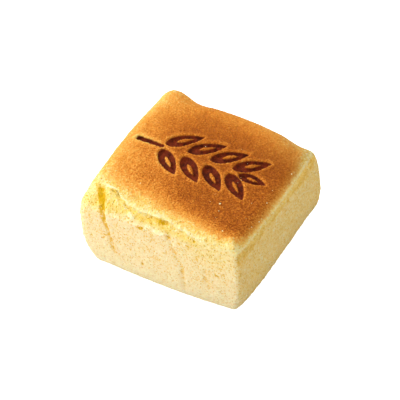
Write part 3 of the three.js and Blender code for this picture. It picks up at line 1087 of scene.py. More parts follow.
@dataclass(frozen=True)
class Browning:
    """How brown the crust gets, from 0 for cream crumb to 1.

    Attributes:
        darkest: How brown the middle of the top is.
        begins: Distance from the -Y rim at which browning begins, along X, and full how far on it is full.
        back_edge: How brown the back's rim is, along X, as a share of the brown further in.
        back_reach: Distance from the back over which that grows, on the left and on the right.
        left_edge: How brown the left rim is, as a share of the brown further in.
        left_start: Distance from the left side at which the brown begins to grow.
        left_reach: Distance over which it grows, at the front and at the back.
        right_edge: How brown it is by the way inwards from the ridge, as a share of the brown further in.
        painted_shade_tone: How brown the +X side is painted: a deeper tone that stands in for its shade.
        painted_shade_skin: How much of the other sides' colour the +X side keeps, less where shade is
            painted.
        waver: How the limits wander in millimetres.
        wide_blotches: How unevenly it browns, and fine_blotches the same on a small scale.
        mottle: The speckle of half-brown crust.
        patches: How the deep colour of the rim groove comes and goes.
        chance: The random relief that these are read from.
    """

    darkest: float = 0.9
    begins: Line = (
        (-40.0, 7.0), (-33.0, 5.0), (-25.0, 1.5), (-10.0, 1.5), (5.0, 1.0), (15.0, -0.5), (22.0, 0.5),
        (30.0, -0.5), (35.0, 0.0), (40.0, 0.0),
    )
    full: Line = (
        (-25.0, 21.0), (-10.0, 22.0), (5.0, 19.0), (15.0, 17.0), (22.0, 14.0), (30.0, 12.0), (40.0, 14.0),
    )
    back_edge: Line = ((-30.0, 0.66), (-10.0, 0.53), (8.0, 0.5), (20.0, 0.4), (30.0, 0.32), (40.0, 0.3))
    back_reach: tuple[float, float] = (25.0, 30.0)
    left_edge: float = 0.42
    left_start: float = 3.0
    left_reach: tuple[float, float] = (40.0, 25.0)
    right_edge: Line = (
        (-1.0, 0.1), (0.0, 0.15), (1.0, 0.3), (2.5, 0.47), (4.0, 0.62), (6.0, 0.84), (9.0, 0.97), (12.0, 1.0),
    )
    # painted shade: the +X side lies in shade, and its deeper, more saturated tone stands in for it
    painted_shade_tone: float = 0.16
    painted_shade_skin: float = 0.33
    waver: Waves = Waves(1.2, 7.0, 3, 40.0)
    wide_blotches: Waves = Waves(0.03, 17.0)
    fine_blotches: Waves = Waves(0.02, 4.0, 3, 90.0)
    mottle: Waves = Waves(0.1, 1.8, 2, 130.0)
    patches: Waves = Waves(0.9, 3.2, 2, 170.0)
    chance: Chance = Chance(3)

    def over_top(self, block: Block, x: Array, y: Array, over_ridge: Array) -> Array:
        """Give the brown of the crust.

        The brown grows with the distance from each side, and the four shares are multiplied: slowly from
        the left and the back, fast from the right, and from the front later the further left it is, because
        of the tear. Blotches and a speckle make it uneven.

        Args:
            block: The plain block.
            x: Places along X.
            y: Places along Y.
            over_ridge: Their way inwards from the ridge on the right.

        Returns:
            The brown.
        """
        flat = np.c_[x, y, np.zeros(len(x))]
        waver = self.waver.over(self.chance, flat)
        left, front, back = x + block.half_length, y + block.half_depth, block.half_depth - y
        way = np.clip((front + waver - read_line(self.begins, x)) / read_line(self.full, x), 0, 1)
        from_front = lerp(way, smoothstep(0, 1, way), 0.5)
        left_reach = lerp(*self.left_reach, smoothstep(-10.0, 2.0, y))
        from_left = lerp(self.left_edge, 1.0, np.clip((left + waver - self.left_start) / left_reach, 0, 1))
        back_reach = lerp(*self.back_reach, smoothstep(5.0, 30.0, x))
        from_back = lerp(read_line(self.back_edge, x), 1.0, smoothstep(0, 1, (back + waver) / back_reach))
        from_right = read_line(self.right_edge, over_ridge + 0.15 * waver)
        uneven = 1 + self.wide_blotches.over(self.chance, flat) + self.fine_blotches.over(self.chance, flat)
        brown = self.darkest * from_left * from_right * from_front * from_back * uneven
        return brown + self.mottle.over(self.chance, flat) * between(brown, (0.02, 0.1), (0.25, 0.5))


@dataclass
class BakedCake:
    """The cake: one closed skin, with the relief that shows and the masks for its finish.

    Attributes:
        across: Grid cells along X and along Y on the top.
        shoulder_rows: Rows of the lower half of the shoulder, side_rows of the side, foot_rows of the foot.
        bottom_rings: Shares of the foot's outline at which the underside's rings lie.
        row_growth: Power by which the side's rows lie closer near the top.
        gather: How much the top's grid closes up towards its edges.
        allowance: How far the relief as a whole lies below the smooth skin, so that its grains stay in the
            box.
        crust_begins: The way over the rim at which the side's skin turns into crust.
        front_ends: Distance from the front side at which its relief ends on the top.
        deepest: Value of the deepest hollow, where the painted shade is deepest.
        cream_width: Width of the strip of pale crumb above the lip, along X, and cream_fray its fray.
        yellow_fray: How the lower edge of the bare yellow crumb wanders.
        yellow_patches: Where the skin beside the tear is stretched until the yellow shows.
        deep_patch: Where the crevice's deep yellow spreads downwards, partly painted shade.
        creases: Creases of the -Y side, top_creases of the top and right_creases of the +X side.
        pores: Large pores of the -Y side, and right_pores of the +X side.
        flakes: The pale nub and the flakes of crumb that stand proud of the tear, paler partly by painted
        highlight, and flake_fray where more lie.
        ripples: Wrinkles over the front rim.
        lumps: Wide lumps of the whole skin, mottle the unevenness of its colour, and crevice_mottle of the
            tear's.
        crust_texture, skin_texture, torn_texture: The fine relief of crust, side skin and torn crumb.
        dough: The random relief that these are read from.
    """

    block: Block = field(default_factory=Block)
    mark: GrainMark = field(default_factory=GrainMark)
    fold: Fold = field(default_factory=Fold)
    rim: RimGroove = field(default_factory=RimGroove)
    browning: Browning = field(default_factory=Browning)
    across: int = 188
    shoulder_rows: int = 12
    side_rows: int = 62
    foot_rows: int = 6
    bottom_rings: tuple[float, ...] = (0.9, 0.66, 0.36, 0.12)
    row_growth: float = 1.3
    gather: float = 0.08
    allowance: float = 0.12
    crust_begins: Stretch = (1.0, 9.0)
    front_ends: Stretch = (19, 22)
    # highest value of the hollow mask, where painted shade is deepest
    deepest: float = 1.4
    cream_width: Line = (
        (-34.0, 2.4), (-24.0, 2.8), (-18.0, 2.6), (-8.0, 4.2), (6.0, 3.8), (18.0, 3.2), (26.0, 2.6),
    )
    cream_fray: Waves = Waves(0.9, 5.0, 2, 83.0)
    yellow_fray: Waves = Waves(1.2, 3.0, 2, 59.0)
    yellow_patches: tuple[Patch, ...] = (Patch(28.0, -1.0, 12.0, 6.5, 0.4), Patch(-38.0, 6.0, 7.0, 6.0, 0.7))
    deep_patch: Patch = Patch(-2.0, 6.8, 7.0, 2.2, 0.3)
    creases: tuple[Crease, ...] = (
        Crease(((-31.0, 13.2), (-14.0, 13.4), (-2.0, 8.2), (2.5, 6.5)), 0.55, 1.7, 0.5),
        Crease(((-8.0, 2.5), (-2.0, -3.4), (1.5, -5.5)), 0.3, 0.9, 0.6),
        Crease(((-29.0, -18.4), (-19.0, -16.0)), 0.3, 1.0, 0.6),
        Crease(((-24.0, 27.6), (-18.0, 24.8), (-9.0, 24.0)), 0.5, 1.4, 0.7),
    )
    pores: tuple[Pore, ...] = (
        Pore(-7.0, -20.0, 0.75, 1.05, 8.0, 0.5),
        Pore(29.7, -12.0, 1.3, 0.85, -25.0, 0.5),
        Pore(20.3, -28.3, 0.8, 0.7, 0.0, 0.3),
        Pore(-26.0, -13.2, 0.9, 0.45, 0.0, 0.4),
        Pore(-25.3, -11.3, 0.7, 0.4, 0.0, 0.35),
        Pore(-33.0, -11.8, 0.45, 0.7, 0.0, 0.4),
        Pore(-32.3, -15.0, 0.45, 0.6, 0.0, 0.4),
        Pore(-6.8, 0.4, 2.0, 0.9, 14.0, 0.4),
        Pore(6.3, 0.4, 1.3, 0.6, -20.0, 0.25),
        Pore(12.0, -0.8, 0.9, 0.6, 0.0, 0.3),
        Pore(16.2, -0.6, 0.9, 0.5, 0.0, 0.3),
        Pore(-13.0, 3.4, 0.8, 0.7, 0.0, 0.3),
        Pore(-11.2, 2.2, 1.1, 0.5, 0.0, 0.3),
        Pore(-28.3, 3.4, 0.5, 0.5, 0.0, 0.5),
        Pore(19.0, 3.2, 0.7, 0.8, 0.0, 0.25),
        Pore(-21.8, -17.5, 0.6, 1.3, 10.0, 0.4),
        Pore(-28.0, 19.4, 1.3, 0.4, 10.0, 0.15),
        Pore(-31.2, 18.4, 0.6, 0.5, 0.0, 0.15),
    )
    flakes: tuple[Pore, ...] = (
        Pore(-12.4, 5.0, 1.9, 2.6, 20.0, -0.5),  # the nub
        Pore(-3.4, 2.6, 1.9, 0.8, 10.0, -0.2),
        Pore(3.1, 1.2, 2.8, 0.6, 13.0, -0.2),
        Pore(-23.3, -0.6, 1.3, 1.0, 0.0, -0.15),
        Pore(-27.6, 16.7, 3.2, 0.8, -6.0, -0.15),
        Pore(9.2, -2.4, 0.7, 1.6, -20.0, -0.15),
    )
    flake_fray: Waves = Waves(1.0, 3.4, 2, 97.0)
    top_creases: tuple[Crease, ...] = (
        Crease(((-20.0, 30.4), (-11.0, 31.8), (-4.0, 32.2), (3.0, 33.8)), 0.28, 2.6, 0.6),
    )
    right_creases: tuple[Crease, ...] = (
        Crease(((-25.0, -19.0), (-18.0, -24.5), (-11.0, -32.0)), 0.2, 0.5, 0.4),
    )
    right_pores: tuple[Pore, ...] = (
        Pore(30.8, 4.5, 1.2, 1.1, 0.0, 0.25),
        Pore(-36.8, -25.0, 1.2, 0.6, 0.0, 0.3),
        Pore(-37.2, -3.0, 0.8, 1.4, 0.0, 0.2),
        Pore(-22.7, -12.3, 0.5, 0.4, 0.0, 0.2),
    )
    ripples: tuple[Ripples, ...] = (
        Ripples(29.0, -2.0, 9.0, 6.0, 2.1, -10.0, 0.17),
        Ripples(31.0, 13.5, 6.5, 3.0, 1.6, 4.0, 0.12),
        Ripples(-11.0, 16.3, 5.5, 2.4, 1.7, -20.0, 0.13),
    )
    lumps: Waves = Waves(0.13, 9.0)
    mottle: Waves = Waves(1.0, 4.0, 3, 500.0)
    crevice_mottle: Waves = Waves(0.35, 1.8, 2, 70.0)
    crust_texture: Texture = Texture(
        Waves(0.04, 2.6, 2, 100.0),
        (Spots(5, 0.9, 0.75, height=0.26, level=0.45, shift=50.0),),
    )
    skin_texture: Texture = Texture(
        Waves(0.12, 3.0, 2, 200.0),
        (
            Spots(5, 1.3, 1.0, height=0.2, shade=-0.8, level=0.45, shift=300.0),  # grains
            Spots(31, 1.9, 0.7, height=-0.14, shade=0.6, share=0.5),  # small pores
            Spots(37, 5.5, 0.85, height=-0.2, shade=0.8, share=0.2),  # larger and rarer ones
        ),
    )
    torn_texture: Texture = Texture(
        Waves(0.28, 3.0, 2, 400.0),
        (
            Spots(5, 1.7, 1.3, height=0.18, shade=-0.4, level=0.45, shift=400.0),  # lobes
            Spots(41, 2.6, 0.95, height=-0.06, shade=0.3, share=0.4),  # holes
        ),
    )
    dough: Chance = Chance(5)

    def __post_init__(self) -> None:
        """Set the seam on this cake's block."""
        self.seam = Seam(self.block)

    # -- laying out the plain skin

    def profile_rows(self) -> list[tuple[float, float]]:
        """List inset and height of the rows from the shoulder's 45 degree line down to the lowest one."""
        b = self.block
        rows = []
        for i in range(1, self.shoulder_rows + 1):
            turn = math.pi / 4 * (1 - i / self.shoulder_rows)
            inset = b.shoulder_width * (1 - math.cos(turn))
            rows.append((inset, b.shoulder_start + b.shoulder_drop * math.sin(turn)))
        for i in range(1, self.side_rows + 1):
            fall = (i / self.side_rows) ** self.row_growth
            rows.append((0.0, b.shoulder_start + (b.foot_radius - b.shoulder_start) * fall))
        for i in range(1, self.foot_rows + 1):
            turn = math.pi / 2 * i / self.foot_rows
            rows.append((b.foot_radius * (1 - math.cos(turn)), b.foot_radius * (1 - math.sin(turn))))
        return rows

    def lay_out(self) -> Skin:
        """Lay out the plain skin: a grid over the top, rows round the sides and rings on the underside.

        The top's grid is a square whose points are spread a little towards its edges. The rows below follow
        the top's outer points, so the seam between them is shared, and a fan closes the underside.
        """
        b, n = self.block, self.across
        t = np.linspace(-1, 1, n + 1)
        spread = (1 + self.gather) * t - self.gather * t**3
        grid_a, grid_b = (g.ravel() for g in np.meshgrid(spread, spread))
        inset45 = b.shoulder_width * (1 - math.cos(math.pi / 4))
        x, y = b.plan(grid_a, grid_b, inset45)
        top = np.stack([x, y, b.shoulder_height(b.plan_inset(x, y))], axis=-1)

        step = np.arange(n)
        last = n * (n + 1)
        rim = np.concatenate([step, n + step * (n + 1), last + n - step, last - step * (n + 1)])
        rim_a, rim_b = grid_a[rim], grid_b[rim]
        rows = []
        for inset, z in self.profile_rows():
            rx, ry = b.plan(rim_a, rim_b, inset)
            rows.append(np.stack([rx, ry, np.full(len(rim), z)], axis=-1))
        rows += [rows[-1] * (share, share, 0) for share in self.bottom_rings]
        plain = np.concatenate([top, *rows, [[0.0, 0.0, 0.0]]])

        corner = (step[:, None] * (n + 1) + step).ravel()
        top_quads = np.stack([corner, corner + 1, corner + n + 2, corner + n + 1], axis=-1)
        loops = [rim] + [len(top) + len(rim) * k + np.arange(len(rim)) for k in range(len(rows))]
        sides = [
            np.stack([upper, lower, np.roll(lower, -1), np.roll(upper, -1)], axis=-1)
            for upper, lower in zip(loops, loops[1:])
        ]
        end = loops[-1]
        fan = np.stack([np.roll(end, -1), end, np.full(len(end), len(plain) - 1)], axis=-1)
        return Skin(plain, np.concatenate([top_quads, *sides]), fan)

    # -- tear, folds and swelling

    def bend_rows(self, skin: Skin) -> None:
        """Bend the rows along the seam, and note each point's way up the -Y side and where it counts."""
        b, seam = self.block, self.seam
        x, y, z = skin.plain.T.copy()
        from_front = y + b.half_depth
        along = z - b.shoulder_start + from_front
        first, last = seam.reach
        near = (from_front < last) & (along > first) & (along < last) & (np.abs(x) < b.half_length - 3)
        near &= z > b.shoulder_start + first - 1
        along = np.where(near, seam.lay_rows(x, along), along)
        inset, height = b.over_edge(along)
        moved = near & (seam.presence(x) > 0)
        y = np.where(moved, inset - b.half_depth, y)
        z = np.where(moved, height, z)
        skin.plain, skin.along = np.stack([x, y, z], axis=-1), along
        skin.front = (1 - smoothstep(*self.front_ends, y + b.half_depth)) * smoothstep(0, b.foot_radius, z)

    def front_depth(self, skin: Skin) -> Array:
        """Add up how deep tear, fold, creases, pores and wrinkles press in the -Y side."""
        way = skin.plain[:, 0], skin.along
        tear, fold = self.seam.hollow(*way), self.fold.groove(*way)
        creases = np.sum([crease.groove(*way) for crease in self.creases], axis=0)
        pits = np.max([pore.depth * pore.shape(*way) for pore in self.pores], axis=0)
        pits = pits + np.sum([flake.depth * flake.shape(*way) for flake in self.flakes], axis=0)
        waves = np.sum([patch.height(*way) for patch in self.ripples], axis=0)
        return skin.front * (np.maximum(tear, fold) + np.minimum(fold, 0) + creases + pits - waves)

    def right_depth(self, skin: Skin) -> Array:
        """Add up how deep groove, scratch and pores press in the +X side."""
        b = self.block
        way = skin.plain[:, 1], self.over_right(skin)
        dent = self.rim.groove(*way) + np.sum([crease.groove(*way) for crease in self.right_creases], axis=0)
        dent = dent + np.max([pore.depth * pore.shape(*way) for pore in self.right_pores], axis=0)
        return dent * smoothstep(b.half_length - b.shoulder_width, b.half_length - 2.5, skin.plain[:, 0])

    def press(self, skin: Skin) -> None:
        """Press tear, folds and groove in square to the skin, and bake the block.

        On the shoulder the skin's normal leans outwards by 1 - inset / width, and the slip of the lip runs
        down square to that normal.
        """
        b = self.block
        self.bend_rows(skin)
        x, y, z = skin.plain.T
        outward = np.clip(1 - (y + b.half_depth) / b.shoulder_width, 0, 1)
        upward = np.sqrt(1 - outward**2)
        sideways = np.clip(1 - (b.half_length - x) / b.shoulder_width, 0, 1)
        sideways = np.where(z > b.shoulder_start, sideways, 1)
        depth, dent = self.front_depth(skin), self.right_depth(skin)
        slip = skin.front * self.seam.slip(x, skin.along)
        on_top = smoothstep(b.height - 2.0, b.height - 0.1, z)
        sunk = on_top * np.sum([crease.groove(y, x) for crease in self.top_creases], axis=0)
        x = x - dent * sideways
        y = y + depth * outward - slip * upward
        z = z - sunk - depth * upward - slip * outward - dent * np.sqrt(1 - sideways**2)
        skin.points = b.baked(np.stack([x, y, z], axis=-1))
        skin.masks[Mask.TORN] = self.torn(skin)
        # Deep yellow of hollows, partly the crumb's own colour and partly painted shade.
        skin.masks[Mask.HOLLOW_TINT_AND_SHADE] = np.clip(self.shade(skin), 0, self.deepest)

    def torn(self, skin: Skin) -> Array:
        """Tell where bare or stretched yellow crumb lies, from 0 to 1.

        It is full between skin edge and lip, and weaker in the patches round the front corners.
        """
        x, along, seam = skin.plain[:, 0], skin.along, self.seam
        uneven = self.yellow_fray.beside(seam.rough, x)
        band = smoothstep(-2.2, 2.0, along - read_line(seam.yellow_line, x) - uneven)
        band = band * (1 - smoothstep(-0.2, 2.2, along - seam.lip(x)))
        band = band * between(x, (-40.0, -33.0), (14.0, 30.0))
        patches = [patch.shape(x, along) for patch in self.yellow_patches]
        return skin.front * np.max([band, *patches], axis=0)

    def shade(self, skin: Skin) -> Array:
        """Tell where crevice, fold, creases and pores are painted deep yellow, from 0 to 1.

        The yellow is partly the moist crumb's own colour and partly painted shade. It shows in the deeper
        half of the crevice, as a painted shadow in a thin line under the lip, and in one patch below that.
        """
        x, along, seam = skin.plain[:, 0], skin.along, self.seam
        # Painted shade, with the crumb's own deep yellow, in crevice, fold, creases and pores.
        crevice = 0.75 * smoothstep(0.12, 0.55, seam.crevice(x, along) * seam.open(x))
        # Painted shadow: a thin line just under the lip.
        under_lip = smoothstep(0.1, 0.5, read_line(seam.crevice_depth, x))
        under_lip = under_lip * bell(along - seam.lip(x) - 0.1, 0.4)
        crevice = np.maximum(crevice, 0.8 * under_lip) + self.deep_patch.shape(x, along)
        mottle = 0.3 * self.crevice_mottle.over(seam.rough, skin.plain)
        fold = read_line(self.fold.tint, along) * smoothstep(0.15, 0.65, self.fold.shape(x, along) + mottle)
        creases = np.max([0.6 * crease.groove(x, along) for crease in self.creases], axis=0)
        pores = np.minimum(1.3 * np.max([pore.shape(x, along) for pore in self.pores], axis=0), 1.0)
        return skin.front * np.max([crevice, fold, creases, pores], axis=0)

    def cream(self, skin: Skin) -> Array:
        """Tell where pale crumb shows above the lip, from 0 to 1: a frayed strip a few millimetres wide."""
        x = skin.plain[:, 0]
        beyond = skin.along - self.seam.lip(x) - self.cream_fray.beside(self.seam.rough, x)
        away = np.clip(beyond, 0, None) / read_line(self.cream_width, x)
        strip = smoothstep(-1.2, 0.6, beyond) * (1 - smoothstep(0.1, 1.0, away))
        return skin.front * strip * between(x, (-36.0, -32.0), (20.0, 30.0))

    def flaky(self, skin: Skin) -> Array:
        """Tell where pale flakes cover the torn crumb, from 0 to 1.

        Their paleness is partly the crumb's own colour and partly painted highlight where edges catch the
        light.
        They lie in stretches along the skin edge, to the right of the fold, and where one is placed.
        """
        x, along, seam = skin.plain[:, 0], skin.along, self.seam
        strip = smoothstep(0.0, 0.5, self.flake_fray.beside(seam.rough, x)) * smoothstep(-20.0, -14.0, x)
        strip = strip * bell(along - seam.skin_edge(x) - 0.5, 0.6) * seam.open(x)
        return np.max([0.6 * strip, *[flake.shape(x, along) for flake in self.flakes]], axis=0)

    # -- the pressed mark and the relief of the crumb

    def stamp(self, skin: Skin) -> None:
        """Press the mark into the top, straight down."""
        margin = 4.0
        distance = self.mark.signed_distance(skin.points[:, :2], margin)
        on_top = skin.plain[:, 2] > self.block.shoulder_start + margin
        distance = np.where(on_top, distance, margin)
        skin.points[:, 2] -= self.mark.sink(distance)
        skin.masks[Mask.MARK] = distance

    def roughen(self, skin: Skin) -> None:
        """Move the points along their normals by the relief of crust, side skin and torn crumb.

        The mark's floor is pressed smoother than the crust, and the foot is level. Hollows are deeper in
        colour, partly painted shade; grains and flakes are paler, partly painted highlight; the crumb above
        the lip is paler. Towards its foot the -Y side is painted paler: painted light.
        """
        at, normal = skin.points, skin.normals()
        cream = self.cream(skin)
        crust = smoothstep(*self.crust_begins, self.way_over(skin))
        crumbly = np.maximum(skin.masks[Mask.TORN], 0.9 * cream)
        side = (1 - crust) * (1 - crumbly)
        floor = smoothstep(0.1, 0.6, -skin.masks[Mask.MARK])
        foot = smoothstep(0.0, 1.0, at[:, 2])

        peel, _ = self.crust_texture.over(self.dough, at)
        skin_relief, skin_shade = self.skin_texture.over(self.dough, at)
        crags, torn_shade = self.torn_texture.over(self.dough, at)
        relief = crust * (1 - crumbly) * peel * (1 - 0.4 * floor) + side * skin_relief + crumbly * crags
        height = self.lumps.over(self.dough, at) * (1 - 0.5 * floor) + relief - self.allowance
        skin.points = at + normal * (height * foot)[:, None]
        skin.points[:, 2] = np.maximum(skin.points[:, 2], 0)
        skin.relief = relief

        mottle = self.mottle.over(self.dough, at)
        # Painted light: the -Y side is painted paler towards its foot.
        low = smoothstep(-14.0, -32.0, skin.along)
        # Hollows deeper and grains and flakes paler: partly own colour, partly painted shade and highlight.
        shaded = skin.masks[Mask.HOLLOW_TINT_AND_SHADE] + side * (skin_shade + 0.2 * mottle - 0.45 * skin.front * low)
        shaded += crumbly * (torn_shade - 0.4 * mottle) - 0.5 * cream - 1.3 * skin.front * self.flaky(skin)
        skin.masks[Mask.HOLLOW_TINT_AND_SHADE] = np.clip(shaded, -1, self.deepest)

    def over_right(self, skin: Skin) -> Array:
        """Give the way over the +X rim: inset from the +X side plus rise past the shoulder's start."""
        x, _, z = skin.plain.T
        inset = np.where(z > self.block.shoulder_start, self.block.half_length - x, 0)
        return inset + z - self.block.shoulder_start

    def way_over(self, skin: Skin) -> Array:
        """Give the way over the rim: inset plus rise past the shoulder's start, below 0 on the sides."""
        x, y, z = skin.plain.T
        inset = np.where(z > self.block.shoulder_start, self.block.plan_inset(x, y), 0)
        return inset + z - self.block.shoulder_start

    def brown(self, skin: Skin) -> None:
        """Work out how brown the crust is, where side skin and bare crumb show, and where shade is painted.

        Grains that stand proud are paler than the crust round them. Up to the ridge the +X side, which lies
        in shade, is painted a deeper tone with less of the pale skin: painted shade. The ridge is paler,
        partly painted highlight. Beside the ridge and towards the back right corner the crust is darkened by
        painted shade.
        """
        b = self.block
        x, y, _ = skin.plain.T
        over_ridge = self.rim.over_ridge(y, self.over_right(skin))
        cream = self.cream(skin)
        brown = self.browning.over_top(b, x, y, over_ridge) * (1 - 0.65 * cream)
        brown -= 0.7 * np.clip(skin.relief, -0.12, 0.12) * smoothstep(0.1, 0.4, brown)
        on_right = smoothstep(b.half_length - 6.0, b.half_length - 3.0, x)
        on_right = on_right * (1 - smoothstep(38.0, 39.2, np.abs(y)))
        on_ridge = bell(over_ridge, 0.9) * self.rim.run(y)
        flank = on_right * (1 - smoothstep(-0.8, 1.2, over_ridge))
        # Painted shade: a deeper tone on the +X side up to the ridge; the paler ridge is partly painted
        # highlight.
        painted_shade_tone = self.browning.painted_shade_tone * (1 - 0.7 * on_ridge)
        skin.masks[Mask.BROWNING] = np.clip(lerp(brown, painted_shade_tone, flank), 0, 1)

        crumb = np.clip(np.maximum(skin.masks[Mask.TORN], cream), 0, 1)
        fade = lerp(3.5, 6.0, smoothstep(2.0, 7.0, b.half_length - x))
        side = (1 - smoothstep(0.0, 1.0, self.way_over(skin) / fade)) * (1 - crumb)
        below_groove = 1 - smoothstep(-0.4, 0.8, self.rim.over_groove(y, self.over_right(skin)))
        # Painted shade: less pale skin colour on the +X side; more on the ridge, partly painted highlight.
        right_side = self.browning.painted_shade_skin * below_groove + 0.3 * on_ridge
        skin.masks[Mask.SIDE] = lerp(side, right_side, on_right)
        skin.masks[Mask.TORN] *= 1 - on_right
        # Painted shade with the groove's own colour deepens the +X side's hollows.
        tinted = np.minimum(skin.masks[Mask.HOLLOW_TINT_AND_SHADE] + self.right_tint(skin), 0.9)
        skin.masks[Mask.HOLLOW_TINT_AND_SHADE] = np.clip(lerp(skin.masks[Mask.HOLLOW_TINT_AND_SHADE], tinted, on_right), -1, self.deepest)

        # Painted shade: darker crust on the right shoulder and towards the back right corner.
        shoulder = 0.6 * bell(over_ridge - 3.2, 3.0) * smoothstep(-36.0, -28.0, y)
        shoulder = shoulder * smoothstep(0.0, 1.0, over_ridge)
        corner = smoothstep(8.0, 32.0, x) * smoothstep(3.0, 26.0, y) * smoothstep(-1.5, 1.5, over_ridge)
        skin.masks[Mask.PAINTED_SHADE] = np.clip(shoulder + corner, 0, 1)

    def right_tint(self, skin: Skin) -> Array:
        """Give the deeper colour of groove, scratch and pores on the +X side, less the ridge's paler one.

        The deeper colour is partly their own and partly painted shade, the paler one partly painted
        highlight.
        The groove's colour comes and goes in patches and spreads wider towards both its ends, and the lane
        between groove and ridge is a little deeper than the side.
        """
        y, way = skin.plain[:, 1], self.over_right(skin)
        over_ridge, over_groove = self.rim.over_ridge(y, way), self.rim.over_groove(y, way)
        run = self.rim.run(y)
        patchy = np.clip(0.6 + self.browning.patches.over(self.browning.chance, skin.points), 0, 1.3)
        lane = smoothstep(-0.4, 0.8, over_groove) * (1 - smoothstep(-1.3, -0.3, over_ridge))
        golden = lerp(1.0, 2.2, smoothstep(14.0, 25.0, y) + smoothstep(-27.0, -33.0, y))
        tint = patchy * (0.8 * bell(over_groove, golden) * run + 0.06 * lane)
        tint -= 0.12 * bell(over_ridge, 0.9) * run
        tint += np.max([0.45 * crease.groove(y, way) / crease.depth for crease in self.right_creases], axis=0)
        return tint + np.max([pore.shape(y, way) for pore in self.right_pores], axis=0)

    # -- the finished piece

    def build(self, node: str) -> tuple[Piece, Skin]:
        """Build the cake as one mesh that fills the box of the CAD node it stands for.

        Args:
            node: Name of the CAD node.

        Returns:
            The object, and the skin with its points in metres.
        """
        skin = self.lay_out()
        self.press(skin)
        self.stamp(skin)
        self.roughen(skin)
        self.brown(skin)
        smooth = self.block.baked(skin.plain)
        low, high = smooth.min(0), smooth.max(0)
        box_low, box_high = (np.array(corner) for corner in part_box(node))
        skin.points = box_low + (skin.points - low) * (box_high - box_low) / (high - low)
        skin.points = np.clip(skin.points, box_low, box_high)
        LOG.info("own middle in the plan, mm: %s, own size: %s", (low + high)[:2] / 2, high - low)
        piece = smooth_piece("baked_sponge", skin.points, [*skin.quads.tolist(), *skin.fan.tolist()])
        for mask, values in skin.masks.items():
            attribute = piece.data.attributes.new(mask.value, "FLOAT", "POINT")
            attribute.data.foreach_set("value", values.astype(np.float32))
        return piece, skin


# ---------------------------------------------------------------- materials


def daylight(red: int, green: int, blue: int) -> Paint:
    """Turn a colour as it is mixed on screen, 0 to 255, into the linear values that a shader takes."""
    shares = (red / 255, green / 255, blue / 255)
    linear = [c / 12.92 if c <= 0.04045 else ((c + 0.055) / 1.055) ** 2.4 for c in shares]
    return (*linear, 1.0)


@dataclass
class Wiring:
    """A short way to set and join shader nodes.

    Attributes:
        tree: The node tree that the nodes go into.
    """

    tree: Tree

    def node(
        self, kind: str, inputs: dict[str | int, object] | None = None, **settings: object
    ) -> bpy.types.Node:
        """Add a node.

        Args:
            kind: The node's type name.
            inputs: Values for its sockets, or sockets to join to them, by name or place.
            **settings: Properties of the node.

        Returns:
            The node.
        """
        made = self.tree.nodes.new(kind)
        for name, value in settings.items():
            setattr(made, name, value)
        for name, value in (inputs or {}).items():
            if isinstance(value, bpy.types.NodeSocket):
                self.tree.links.new(value, made.inputs[name])
            else:
                made.inputs[name].default_value = value
        return made

    def math(self, operation: str, *values: object, clamp: bool = False) -> Socket:
        """Work out one arithmetic step."""
        inputs = dict(enumerate(values))
        return self.node("ShaderNodeMath", inputs, operation=operation, use_clamp=clamp).outputs[0]

    def band(self, value: object, low: float, high: float, start: float = 0.0, end: float = 1.0) -> Socket:
        """Go smoothly from start at low to end at high."""
        inputs = {"Value": value, "From Min": low, "From Max": high, "To Min": start, "To Max": end}
        return self.node("ShaderNodeMapRange", inputs, interpolation_type="SMOOTHSTEP").outputs[0]

    def mix(self, share: object, start: object, end: object, blend: str = "MIX") -> Socket:
        """Mix two colours."""
        made = self.node("ShaderNodeMix", {0: share, 6: start, 7: end}, data_type="RGBA", blend_type=blend)
        return made.outputs[2]

    def noise(self, place: object, scale: object, detail: float, roughness: float) -> Socket:
        """Give noise of 0 to 1 around 0.5."""
        inputs = {"Vector": place, "Scale": scale, "Detail": detail, "Roughness": roughness}
        return self.node("ShaderNodeTexNoise", inputs).outputs["Fac"]

    def ramp(self, value: object, stops: tuple[tuple[float, Paint], ...]) -> Socket:
        """Turn a value into a colour.

        Args:
            value: The value, from 0 to 1.
            stops: Places from 0 to 1 with their colours, mixed in straight lines between them.

        Returns:
            The colour's socket.
        """
        made = self.node("ShaderNodeValToRGB", {"Fac": value})
        elements = made.color_ramp.elements
        while len(elements) < len(stops):
            elements.new(0.5)
        for element, (place, colour) in zip(elements, stops):
            element.position, element.color = place, colour
        return made.outputs["Color"]


def new_material(name: str) -> tuple[bpy.types.Material, Wiring]:
    """Start a material without nodes."""
    made = bpy.data.materials.new(name)
    made.use_nodes = True
    made.node_tree.nodes.clear()
    return made, Wiring(made.node_tree)


def new_group(name: str, inputs: dict[str, tuple[str, float]], outputs: dict[str, str]) -> Wiring:
    """Start a shader node group.

    Args:
        name: The group's name.
        inputs: Kind of socket and starting value for each input.
        outputs: Kind of socket for each output.

    Returns:
        The wiring of its tree.
    """
    tree = bpy.data.node_groups.new(name, "ShaderNodeTree")
    for label, (kind, value) in inputs.items():
        socket = tree.interface.new_socket(label, in_out="INPUT", socket_type=kind)
        if kind == "NodeSocketFloat":
            socket.default_value = value
    for label, kind in outputs.items():
        tree.interface.new_socket(label, in_out="OUTPUT", socket_type=kind)
    return Wiring(tree)


